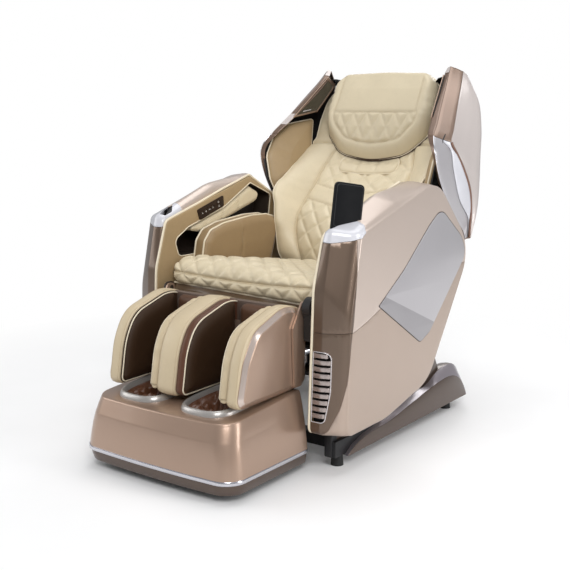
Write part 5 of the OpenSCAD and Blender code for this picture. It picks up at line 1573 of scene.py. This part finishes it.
mid_band = calf_slab("divider_band", [(x - 19, i) for x, i in
                                      ((-35, 7), (-34.6, 4), (-32.6, 1), (-27, -1), (-16, -2.2), (0, -2.8),
                                       (16, -2.2), (27, -1),
                                       (32.6, 1), (34.6, 4), (35, 7))], CREAM_CALF, 70)
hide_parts("calf_divider")
stitches("divider_thread", [[(x * MM, fy(p[0]), p[1] * MM) for p in inset_line(calf_line, -1.0)]
                            for x in (-49.5, 11.5)],
         "legrest", THREAD, length=3.0, gap=1.8, radius=0.5, up=(0, -0.5, 1.0))

face_line = inset_line(outline([(60, 248, 30), (84, 385, 220), (128, 466, 120), (285, 514, 130),
                                (322, 503, 25), (322, 250, 20)], 8, pitch=9)[0], 11)


def calf_face(name, x, sign, reach=17, line=face_line):
    """The crowned dark pad of a channel wall that faces sign along X."""
    pad = radial_pad(name, line, lambda p, d: reach * rounding(d, 34) + 4 * np.clip(d / 90, 0, 1),
                     lambda p, d: -3 * rounding(d, 4),
                     lambda a, b, h: Vector((x * MM + sign * h, fy(a), b * MM)),
                     "legrest", COCOA, rings=22)
    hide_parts("calf_pads")
    return pad


# The walls that face the sitter's left carry a border and bright piping, the others a gathered cream edge
BORDERED = ((-209.8, 1, "right_wall", COCOA, 7.0), (16, 1, "divider_left", BORDER_LEATHER, 28.0))
GATHERED = ((204.5, -1, "left_wall"), (-60.0, -1, "divider_right"))
for x, sign, label, mat, t in BORDERED:
    border = calf_slab("calf_border_" + label, [(x - sign * 1, 12), (x + sign * 0.5, 7), (x + sign * 3, 4.4),
                                                (x + sign * t * 0.5, 3.4), (x + sign * (t - 1.5), 5.4),
                                                (x + sign * t, 9), (x + sign * (t + 0.4), 14)],
                       mat, 70)
    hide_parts("calf_pads")
    tube("calf_piping_" + label, [((x + sign * t) * MM, fy(p[0]), p[1] * MM)
                                  for p in inset_line(calf_line, 8.0)],
         0.0022, "legrest", PIPE, closed=True, sides=8)
    calf_face("calf_face_" + label, x + sign * (t - 1.5), sign, 14)
for x, sign, label in GATHERED:
    edge = calf_slab("calf_gather_" + label, [(x - sign * 1, 24, 0), (x + sign * 0.5, 19, 0.6),
                                              (x + sign * 3, 13, 2.6),
                                              (x + sign * 9, 8.5, 5.6), (x + sign * 16, 7, 6.5),
                                              (x + sign * 23, 8.5, 5.2),
                                              (x + sign * 28, 13, 2.6), (x + sign * 30.4, 19, 1.0),
                                      (x + sign * 31, 25, 0)], CREAM_CALF, 70, waves=GATHER)
    gap = calf_slab("calf_gap_" + label, [(x - sign * 6, 20), (x - sign * 5.8, 15), (x - sign * 2, 12.5),
                                          (x + sign * 1.5, 15),
                                          (x + sign * 2, 20)], COCOA, 70)
    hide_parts("calf_pads")
    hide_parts("calf_pads")
    tube("calf_piping_" + label, [((x + sign * 29.6) * MM, fy(p[0]), p[1] * MM)
                                  for p in inset_line(calf_line, 15.0)],
         0.0018, "legrest", PIPE, closed=True, sides=8)
    calf_face("calf_face_" + label, x + sign * 24.0, sign, 10, inset_line(face_line, 9))


def rear_front(p, d):
    seam = crease(np.abs(p[:, 1] - 380), 8)
    return 20 * rounding(d, 26) - 2.0 * seam * np.clip(d / 20, 0, 1)


for sign, side in SIGNS:
    shape, _ = outline([(62, 262, 24), (192, 262, 24), (192, 494, 26), (62, 494, 26)], 8, pitch=10)
    pad = radial_pad("calf_rear_pad_" + side, shape, rear_front, lambda p, d: -4 * rounding(d, 4),
                     lambda a, b, h: Vector((sign * a * MM, fy(322) - h, b * MM)),
                     "legrest", UMBER, rings=22)
    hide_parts("calf_pads")
back_plate = loft("calf_back_plate", [[(x * MM, fy(a), b * MM) for a, b in outline(
    [(324, 256, 4), (324, 503, 4), (345, 500, 10), (370, 491, 16), (370, 254, 8)], 6, pitch=30)[0]] for x in
                                      (-244.5, 244.5)], "legrest", SHELL, True, True)
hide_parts("calf_shells")

# ------------------------------------------------------------ base rails
RAIL_OUT = [(450, 32), (460, 39), (478, 49), (497, 57), (535, 67), (580, 73), (640, 76), (704, 79),
            (837, 100), (978, 123), (1060, 132), (1110, 134), (1160, 127), (1205, 107), (1235, 80),
            (1253, 56), (1263, 36), (1264, 32)]
RAIL_IN = [(470, 32), (480, 38), (498, 49), (520, 57), (560, 69), (610, 77), (680, 85), (756, 94),
           (891, 110), (998, 124), (1060, 147), (1105, 159), (1150, 163), (1195, 160), (1226, 145),
           (1244, 125), (1255, 100), (1258, 60)]
# Name, side outline, inner and outer X, edge rounding, slot and material of what stands on a rail
RAIL_EXTRAS = (
    ("rail_front_post_", [(400, 34), (400, 132), (430, 132), (430, 34)], 318, 344, 2.5, "frame_black", FRAME),
    ("rail_toe_", [(429, 34), (429, 132), (520, 132), (505, 60), (474, 34)], 306, 342, 2.5, "rail_bronze",
     SKIRT),
    ("rail_bracket_", [(965, 108), (1010, 150), (1068, 206), (1080, 206), (1112, 150), (1110, 118)], 304, 334,
     2, "frame_black", SKIRT))
out_line, in_line = smooth_line(RAIL_OUT, 90), smooth_line(RAIL_IN, 90)
for side, mirror in SIDES:
    rings = []
    for o, i in zip(out_line, in_line):
        lo, li = max(o[1], 33), max(i[1], 33)
        mid = ((o[0] + i[0]) / 2, (lo + li) / 2)
        rings.append([(x * MM, fy(f), z * MM) for x, f, z in
                      ((372, o[0], 32), (372, o[0], lo - 1.4), (371.2, o[0] + 0.6, lo),
                       (356, mid[0], mid[1] + 1.6),
                       (341.6, i[0] - 0.6, li), (338, i[0], li + 0.6), (320, i[0], li + 0.2),
                       (303, i[0], li - 3), (300, i[0], li - 6), (300, i[0], 32))])
    rail = loft("rail_" + side, rings, "base", [SKIRT, RAILTOP], True, True, 40, mirror)
    for f in rail.data.polygons:
        x = abs(f.center.x) / MM
        f.material_index = 1 if 340.5 < x < 371.4 and abs(f.normal.x) < 0.97 and f.normal.z > -0.2 else 0
    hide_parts("rail_covers")
    for name, points, x0, x1, rounded, slot, mat in RAIL_EXTRAS:
        form = side_prism("form", points, x0, x1)
        bevel(form, rounded)
        piece = clone(form, name + side, "base", mat, mirror)
        drop(form)
        if name == "rail_front_post_":
            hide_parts("rail_covers")

# ------------------------------------------------------------ seat cushion
# The side line from the lower front piping over the front face and the top to the rear: (F, Z) in mm.
SEAT_SIDE = [(416, 499), (405, 509), (400, 526), (399, 543), (401, 557), (409, 570), (427, 579), (458, 583),
             (520, 580), (600, 569), (680, 555), (760, 543), (840, 533), (884, 528)]
seat_curve = smooth_line(SEAT_SIDE, 400)
seat_step = np.concatenate([[0], np.cumsum(np.linalg.norm(np.diff(seat_curve, axis=0), axis=1))])
SEAM_AT = float(np.interp(549, seat_curve[:150, 1], seat_step[:150]))
SEAT_LEN = seat_step[-1]
SEAT_PITCH = 74


def seat_side(s):
    """Point and outward normal of the seat's side line at a length s in mm."""
    f, z = np.interp(s, seat_step, seat_curve[:, 0]), np.interp(s, seat_step, seat_curve[:, 1])
    df = np.interp(s + 2, seat_step, seat_curve[:, 0]) - np.interp(s - 2, seat_step, seat_curve[:, 0])
    dz = np.interp(s + 2, seat_step, seat_curve[:, 1]) - np.interp(s - 2, seat_step, seat_curve[:, 1])
    k = hypot(df, dz)
    return f, z, -dz / k, df / k


def seat_half(s):
    f = seat_side(s)[0]
    wide = 296 - 50 * float(np.clip((f - 520) / 26, 0, 1)) ** 0.7 * (1 if s > SEAM_AT else 0)
    return wide - 3 * float(np.clip((f - 600) / 280, 0, 1))


def seat_lift(x, s, half):
    """Height of the seat's skin over its side line, in mm."""
    x = np.asarray(x, float)
    a = np.abs(x)
    edge = half - a
    round_off = 26 * (rounding(edge, 30) - 1)
    t = s - SEAM_AT
    d = diamonds(x - 50, np.full(len(x), t), SEAT_PITCH, SEAT_PITCH * (1.08 if t > 0 else 1.1))
    d = np.minimum(d, abs(t) * 0.9)
    border = np.clip(edge / 16, 0, 1)
    ends = min(1.0, s / 26.0)
    puff = quilt(d, 9.5 if t > 0 else 8.0, 6.5) * border * ends
    past_roll = float(np.clip((t - 10) / 40, 0, 1))
    slump = 13 * np.clip((x + 20) / 150, 0, 1) ** 1.2 * past_roll
    slump -= 5 * np.exp(-((x + 40) / 70) ** 2) * past_roll
    crown = 6 * (1 - (a / half) ** 2) * min(1.0, max(0.0, t) / 60)
    wrinkle = 0.7 * np.sin(x / 7.5 + 2 * np.sin(s / 19)) * np.exp(-abs(t) / 9.0)
    sag = -4.0 * np.exp(-(t / 5.0) ** 2)
    return round_off + puff + crown + wrinkle + sag - slump


def seat_dip(x, s):
    """The lower edge hangs a little lower toward the sitter's left."""
    sideways = 9.0 * x / 290 * max(0.0, 1 - s / SEAM_AT)
    middle = 10.0 * (1 - (x / 290) ** 2) * exp(-((s - SEAM_AT) / 24) ** 2)
    return -sideways - middle


def seat_point(x, s, out=0.0):
    f, z, nf, nz = seat_side(s)
    h = float(seat_lift([x], s, seat_half(s))[0]) + out
    return Vector((x * MM, fy(f + nf * h), (z + nz * h + seat_dip(x, s)) * MM))


rings = []
us = np.concatenate([-np.sin(np.linspace(1, 0, 70) * pi / 2) ** 0.94,
                     np.sin(np.linspace(0, 1, 70) * pi / 2)[1:] ** 0.94])
for s in np.concatenate([np.arange(0, 110, 2.2), np.arange(110, SEAT_LEN - 12, 5.0),
                         SEAT_LEN - np.array([10, 6, 3, 1, 0])]):
    f, z, nf, nz = seat_side(s)
    half = seat_half(s)
    end = 22 * (1 - float(rounding(np.array([SEAT_LEN - s]), 16)[0]))
    h = seat_lift(us * half, s, half) - end
    top = [((u * half) * MM, fy(f + nf * q), (z + nz * q + seat_dip(u * half, s)) * MM)
           for u, q in zip(us, h)]
    fb, zb = max(f, 432 + 0.05 * s), 468
    low_half = half * 0.985
    side_in = [(low_half * MM, fy(fb), (zb + 20) * MM), (low_half * 0.98 * MM, fy(fb), zb * MM)]
    bottom = [(k * low_half * MM, fy(fb), zb * MM) for k in (0.7, 0.35, 0, -0.35, -0.7)]
    rings.append(top + side_in + bottom + [(-p[0], p[1], p[2]) for p in side_in[::-1]])
seat = loft("seat_pad", rings, "carriage", CREAM, True, True, 75)
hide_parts("seat_cushion")
tube("seat_piping_low", [Vector((x * MM, fy(414), (499 + seat_dip(x, 0)) * MM))
                         for x in np.linspace(-294, 294, 60)], 0.0034, "carriage", PIPE)
for sign, side in SIGNS:
    tube("seat_piping_" + side, [seat_point(sign * (seat_half(s) - 1.5), s,
                                            -1.0) + Vector((sign * 0.001, 0, 0))
                                 for s in np.arange(4, SEAT_LEN - 20, 6)], 0.0032, "carriage",
         PIPE)
stitches("seat_thread", [[seat_point(x, SEAM_AT + off, 0.3) for x in np.arange(-286, 287, 5)]
                         for off in (-3.0, 3.0)],
         "carriage", THREAD, length=3.2, gap=1.8, radius=0.5, up=(0, -0.9, 0.3))

# Vinyl apron hanging under the seat's front edge
rows, cols = 26, 150
verts = []
for layer in (0, 1):
    for r in range(rows):
        k = r / (rows - 1)
        for c in range(cols):
            u = c / (cols - 1)
            x = -288 + 576 * u
            sag = 10 * sin(pi * u)
            z = 498 + seat_dip(x, 0) * 0.7 - (48 + sag) * k
            drape = 7.0 * sin(2.2 * pi * u + 0.5 + 3.4 * k) * sin(pi * min(k * 1.1, 1))
            fold = 4.6 * sin(3.0 * pi * k + 2.4 * sin(4.2 * u + 0.4) + 0.7)
            fold *= sin(pi * min(1, k * 1.05)) ** 0.6
            fine = 1.3 * sin(26 * u + 9 * k) * sin(pi * k)
            f = 414 - 18 * sin(pi * 0.62 * k) + drape + fold + fine + layer * 2.6
            verts.append((x * MM, fy(f), z * MM))
faces = grid_faces(rows, cols) + [q[::-1] for q in grid_faces(rows, cols, base=rows * cols)]
loop = list(range(cols)) + [r * cols + cols - 1 for r in range(1, rows)] + \
    [(rows - 1) * cols + c for c in range(cols - 2, -1, -1)] + [r * cols for r in range(rows - 2, 0, -1)]
faces += [(a, b, b + rows * cols, a + rows * cols) for a, b in zip(loop, loop[1:] + loop[:1])]
apron = make("apron_sheet", verts, faces, "carriage", APRON, 60)
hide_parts("seat_apron")

# ------------------------------------------------------------ hip cushions
HIP_PAD = [(517, 474, 10), (520, 566, 60), (534, 634, 26), (566, 668, 30), (636, 686, 160), (790, 699, 200),
           (878, 697, 30), (942, 680, 26), (944, 640, 30), (902, 520, 60), (892, 474, 10)]
hip_line, _ = outline(HIP_PAD, 8, pitch=9)


def hip_front(p, d):
    h = 15 * rounding(d, 30) + 5 * np.clip(d / 90, 0, 1)
    s = nearest(p, [(700, 440), (714, 560), (736, 710)])
    folds = np.sin(p[:, 1] / 9.0) * np.exp(-s / 12)
    return h - (5.0 * crease(s, 5.0) + folds) * np.clip(d / 14, 0, 1)


for side, mirror in SIDES:
    rings = [[(x * MM, fy(q[0]), q[1] * MM) for q in inset_line(hip_line, i)] for x, i in
             ((305, 6), (304.6, 2.5), (303, 0.6), (297, -0.6), (284, -1.4), (272, -0.6), (267, 0.4),
              (265.4, 2), (265, 6))]
    wall = loft("hip_wall_" + side, rings, "carriage", TAN_HIP, True, True, 70, mirror)
    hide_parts("hip_cushions")
    pad = radial_pad("hip_face_" + side, inset_line(hip_line, 1.5), hip_front,
                     lambda p, d: -4 * rounding(d, 4),
                     lambda a, b, h: Vector((0.2655 - h, fy(a), b * MM)), "carriage", TAN_HIP,
                     rings=36, mirror=mirror)
    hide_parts("hip_cushions")
    for x, i in ((266.2, 0.0), (302.6, -0.8)):
        tube("hip_piping_%s_%d" % (side, x), [(x * MM, fy(q[0]), q[1] * MM) for q in inset_line(hip_line, i)],
             0.0032, "carriage", PIPE, closed=True, mirror=mirror)

# Side gussets that close the gap between the hip cushions and the backrest
gusset_line, _ = outline([(920, 470, 8), (920, 650, 20), (985, 688, 30), (1036, 600, 30), (1012, 474, 12)], 6,
                         pitch=20)
for side, mirror in SIDES:
    flat_plate("hip_gusset_" + side, gusset_line, [], side_place(296.5), 6, 2.4, "carriage",
               TAN_HIP, mirror, 3)

# ------------------------------------------------------------ arm caps, handset, phone pocket
pocket = Vector((ARM_IN + 38, 0, 730)) * MM
pocket.y = KNEE.y + 0.082
pocket_lean = Matrix.Rotation(radians(-10), 4, "X") @ Matrix.Rotation(radians(-26), 4, "Z")
pocket_turn = Matrix.Translation(pocket) @ pocket_lean


def pocket_block(sx, sy, sz, z0, round_r=0.0):
    line, _ = outline([(sx / 2, sy / 2, round_r), (-sx / 2, sy / 2, round_r), (-sx / 2, -sy / 2, round_r),
                       (sx / 2, -sy / 2, round_r)], 6, pitch=40)
    return [[tuple(pocket_turn @ Vector((p[0] * MM, p[1] * MM, z * MM))) for p in line]
            for z in (z0, z0 + sz)]


cap_cut = side_prism("cap_cut", cap, 280, 460)
cap_form = clone(solid, "cap_form", None, [])
boolean(cap_form, cap_cut, "INTERSECT")
slot_cut = loft("slot_cut", pocket_block(17.5, 106, 140, -62, 5), None, [], True, True)
boolean(cap_form, slot_cut, "DIFFERENCE")
bevel(cap_form, 1.0)
mouth_line, _ = outline([(322, 396, 5), (341, 412, 60), (364, 445, 30), (375, 470, 7), (358, 479, 7),
                         (340, 459, 60), (322, 436, 6)], 6, pitch=20)
pocket_hole = loft("pocket_hole", [[(p[0] * MM, fy(p[1]), z) for p in mouth_line] for z in (0.60, 0.85)],
                   None, [], True, True)
phone_cap = clone(cap_form, "phone_cap", None, [])
boolean(phone_cap, pocket_hole, "DIFFERENCE")
mouth = clone(cap_form, "mouth", None, [])
boolean(mouth, pocket_hole, "INTERSECT")
bevel(phone_cap, 0.6)
mouth.data.transform(Matrix.Translation((0, 0.001, -0.004)))
for source, node, mirror in ((cap_form, "remote_dock", False), (phone_cap, "phone_pocket", True)):
    piece = clone(source, "arm_cap_" + ("right" if mirror else "left"), "carriage", GLASSY,
                  mirror)
    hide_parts(node)
clone(mouth, "phone_mouth", "carriage", BLACK, True)
drop(phone_cap, mouth, pocket_hole)
drop(cap_cut, slot_cut)
loft("dock_lining", [[tuple(p) for p in r] for r in pocket_block(17.2, 105.6, 50, -60, 5)], "carriage",
     BLACK, True, True)
loft("phone_lining", [[tuple(p) for p in r] for r in pocket_block(17.2, 105.6, 50, -60, 5)], "carriage",
     BLACK, True, True, mirror=True)

# ------------------------------------------------------------ back shell
# Depth of the rear skin and half width over the height z of the back, in mm.
SHELL_Z = [14, 60, 120, 200, 300, 345, 400, 480, 560, 640, 700, 760, 800, 824, 836]
SHELL_REAR = [110, 186, 214, 232, 240, 241, 238, 231, 221, 207, 189, 163, 136, 102, 50]
SHELL_HALF = [228, 252, 268, 280, 292, 300, 306, 306, 304, 300, 296, 290, 280, 264, 240]
SHELL_FRONT = [60, 60, 60, 60, 60, 60, 60, 50, 30, 0, -30, -60, -80, -88, -90]


def shell_ring(z, inset=0.0):
    at = lambda v: float(np.interp(z, SHELL_Z, v))
    rear, half, front = at(SHELL_REAR) - inset, at(SHELL_HALF) - inset, at(SHELL_FRONT)
    pts = []
    for t in np.linspace(0, pi, 49):
        c, s = cos(t), sin(t)
        x = half * (abs(c) ** 0.5) * (1 if c >= 0 else -1)
        y = front + (rear - front) * s ** 0.62
        pts.append(on_back(x * MM, y * MM, z * MM))
    return pts


zs = smooth_line([(z, 0) for z in SHELL_Z], 84)[:, 0]
outer = [shell_ring(z) for z in zs]
low = [shell_ring(SHELL_Z[0], 16)]
rows = low + outer
cols = len(rows[0])
verts = [tuple(p) for r in rows for p in r]
faces = grid_faces(len(rows), cols)
verts.append(tuple(on_back(0, 0.0, (SHELL_Z[-1] + 4) * MM)))
top = (len(rows) - 1) * cols
faces += [(top + c, top + c + 1, len(verts) - 1) for c in range(cols - 1)]
back_skin = make("back_shell_skin", verts, faces, "backrest", SHELL, 40)
face_y(back_skin, 1)
thicken(back_skin, 4, -1, 40)
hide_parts("back_shell")
# A champagne inset with a parting line and a row of air slots on the rear
for z0, z1, label in ((110, 330, "low"), (346, 700, "high")):
    rows = []
    for z in np.linspace(z0, z1, 30):
        ring = shell_ring(z, -1.6)
        rows.append([tuple(p) for p in ring[10:39]])
    panel = make("rear_panel_" + label, [p for r in rows for p in r], grid_faces(30, 29), "backrest",
                 CHAMPAGNE, 40)
    face_y(panel, 1)
    thicken(panel, 3.2, 0, 34)
    bevel(panel, 1.0)
for k in range(7):
    z = 380 + k * 15
    path = []
    for x in np.linspace(-90, 90, 25):
        half, rear = float(np.interp(z, SHELL_Z, SHELL_HALF)), float(np.interp(z, SHELL_Z, SHELL_REAR))
        front = float(np.interp(z, SHELL_Z, SHELL_FRONT))
        s = sqrt(max(0.0, 1 - (abs(x) / half) ** 4))
        path.append(on_back(x * MM, (front + (rear + 1.6 - front) * s ** 0.62 + 1.6) * MM, z * MM))
    tube("rear_slot_%d" % (k + 1), path, 0.0026, "backrest", BLACK, sides=8)

# Dark cap over the head, from wing to wing
rows = []
for t in np.linspace(0, 1, 16):
    row = []
    for x in np.linspace(-262, 262, 33):
        u = abs(x) / 262
        z = 836 + 5 * (1 - u ** 2) * sin(pi * 0.5 * (1 - t))
        reach = 34 + 40 * float(np.clip((abs(x) - 190) / 30, 0, 1))
        y = -96 - reach * (1 - t) * (1 - 0.15 * u ** 2) + 60 * t
        drop_front = 22 * (1 - t) ** 6
        row.append(tuple(on_back(x * MM, y * MM, (z - drop_front - 6 * t) * MM)))
    rows.append(row)
head_cap = make("head_cap", [p for r in rows for p in r], grid_faces(16, 33), "backrest",
                BLACK, 40)
thicken(head_cap, 3, 0, 40)
bevel(head_cap, 1.0)

# ------------------------------------------------------------ handset
def handset_place(a, b, h):
    return pocket_turn @ Vector((6.5 * MM - h, a * MM, (b - 57.7) * MM))


body_line, _ = outline([(-50, 0, 14), (50, 0, 14), (50, 190, 14), (-50, 190, 14)], 10, pitch=30)
slab = flat_plate("handset_body", body_line, [], handset_place, 13, 3.2, "remote_handset",
                  BLACK_GLASS, False, 4)
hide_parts("remote_handset")
glass_line, _ = outline([(-44, 62, 6), (44, 62, 6), (44, 183, 9), (-44, 183, 9)], 8, pitch=30)
flat_plate("handset_screen", glass_line, [], lambda a, b, h: handset_place(a, b, h - 0.0006), 1.2, 0.35,
           "remote_handset", SCREEN, False, 2)
rim_line, _ = outline([(-45.4, 60.6, 7), (45.4, 60.6, 7), (45.4, 184.4, 10), (-45.4, 184.4, 10)], 8, pitch=30)
flat_plate("handset_rim", rim_line, [glass_line], lambda a, b, h: handset_place(a, b, h - 0.0003), 0.8, 0.2,
           "remote_handset", FRAME, False, 1)

# ------------------------------------------------------------ control panel and its keys
SLOPE = radians(16.8)
MODE_KEYS = ["mode_key_%d" % (k + 1) for k in range(4)]
ROUND_KEYS = ["round_key_upper", "round_key_lower"]


def key_place(node):
    low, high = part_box(node)
    mid = (low + high) / 2

    def put(a, b, h):
        y = a * cos(SLOPE) - b * sin(SLOPE)
        z = a * sin(SLOPE) + b * cos(SLOPE)
        return Vector((-0.3052 + h, mid.y + y * MM, mid.z + z * MM))
    return put


def ring_of(r, n=28):
    return [(r * cos(2 * pi * i / n), r * sin(2 * pi * i / n)) for i in range(n)]


def key_shape(node, grow=0.0):
    if node in ROUND_KEYS:
        return ring_of(4.5 + grow)
    a, b = 6.2 + grow, 5 + grow
    return [tuple(q) for q in outline([(-a, -b, 1.6), (a, -b, 1.6), (a, b, 1.6), (-a, b, 1.6)], 5,
                                      pitch=20)[0]]


key_holes = []
for node in MODE_KEYS + ROUND_KEYS:
    points = [key_place(node)(a, b, 0) for a, b in key_shape(node, 0.5)]
    key_holes.append([((p.y - F_ZERO) / MM, p.z / MM) for p in points])
plate_line, _ = outline([(543, 736, 5), (556, 699, 9), (684, 740, 5), (682, 777, 5)], 6, pitch=30)
plate = flat_plate("control_plate", plate_line, key_holes,
                   lambda a, b, h: Vector((-0.3068 + h, fy(a), b * MM)), 4.2,
                   0.3, "carriage", PANEL_BROWN, False, 2)
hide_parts("control_panel")

ICONS = [[(-3, -0.7, 3, 0.7), (-0.7, -3, 0.7, 3)], [(-3, -2.2, 3, -0.9), (-3, 0.9, 3, 2.2)],
         [(-3, -2.4, -1.8, 2.4), (1.8, -2.4, 3, 2.4), (-1.8, -0.6, 1.8, 0.6)],
         [(-2.6, -2.6, 2.6, -1.4), (-0.6, -1.4, 0.6, 2.8)]]


def key_cap(node):
    """Adds a key's cap and gives back the function that places its marks."""
    put = key_place(node)
    cap = flat_plate(node + "_cap", key_shape(node), [], lambda a, b, h: put(a, b, h + 0.0022), 2.0, 0.9,
                     node, PANEL_BROWN, False, 3)
    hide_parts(node)
    return put


for k, node in enumerate(MODE_KEYS):
    put = key_cap(node)
    for i, (x0, y0, x1, y1) in enumerate(ICONS[k]):
        flat_plate("%s_icon_%d" % (node, i + 1), [(x0, y0), (x1, y0), (x1, y1), (x0, y1)], [],
                   lambda a, b, h: put(a, b, h + 0.0041), 0.4, 0.08, node, ICON, False, 1)
for node in ROUND_KEYS:
    put = key_cap(node)
    flat_plate(node + "_ring", ring_of(3.4), [ring_of(2.6)], lambda a, b, h: put(a, b, h + 0.0040), 0.5, 0.1,
               node, ICON, False, 1)
    if node == "round_key_upper":
        flat_plate(node + "_dot", ring_of(0.9, 14), [], lambda a, b, h: put(a, b, h + 0.0040), 0.5, 0.1, node,
                   ICON, False, 1)

# ------------------------------------------------------------ finishes of the parts shown as they were made
def dress(mat, *names):
    for n in names:
        mesh = frame["nodes"][n].data
        mesh.materials.clear()
        mesh.materials.append(mat)


dress(FRAME, "base_frame", "back_frame")
# The seat frame takes the dark brown so that it reads as shade: painted shade.
dress(SHADE_BROWN, "seat_frame")
dress(BRONZE, "leg_frame")
dress(RUBBER, "base_feet", "transport_wheels", "foot_rollers")
dress(CHROME, "guide_rods", "recline_rod")
dress(BLACK, "power_box", "recline_actuator", "leg_drive")
dress(RED, "power_switch")
dress(STEEL, "massage_carriage", "knead_arm_left", "knead_arm_right")
dress(ROLLER, "roller_left_upper", "roller_left_lower", "roller_right_upper", "roller_right_lower")

drop(arm_skin, solid, cap_form, *shells.values())
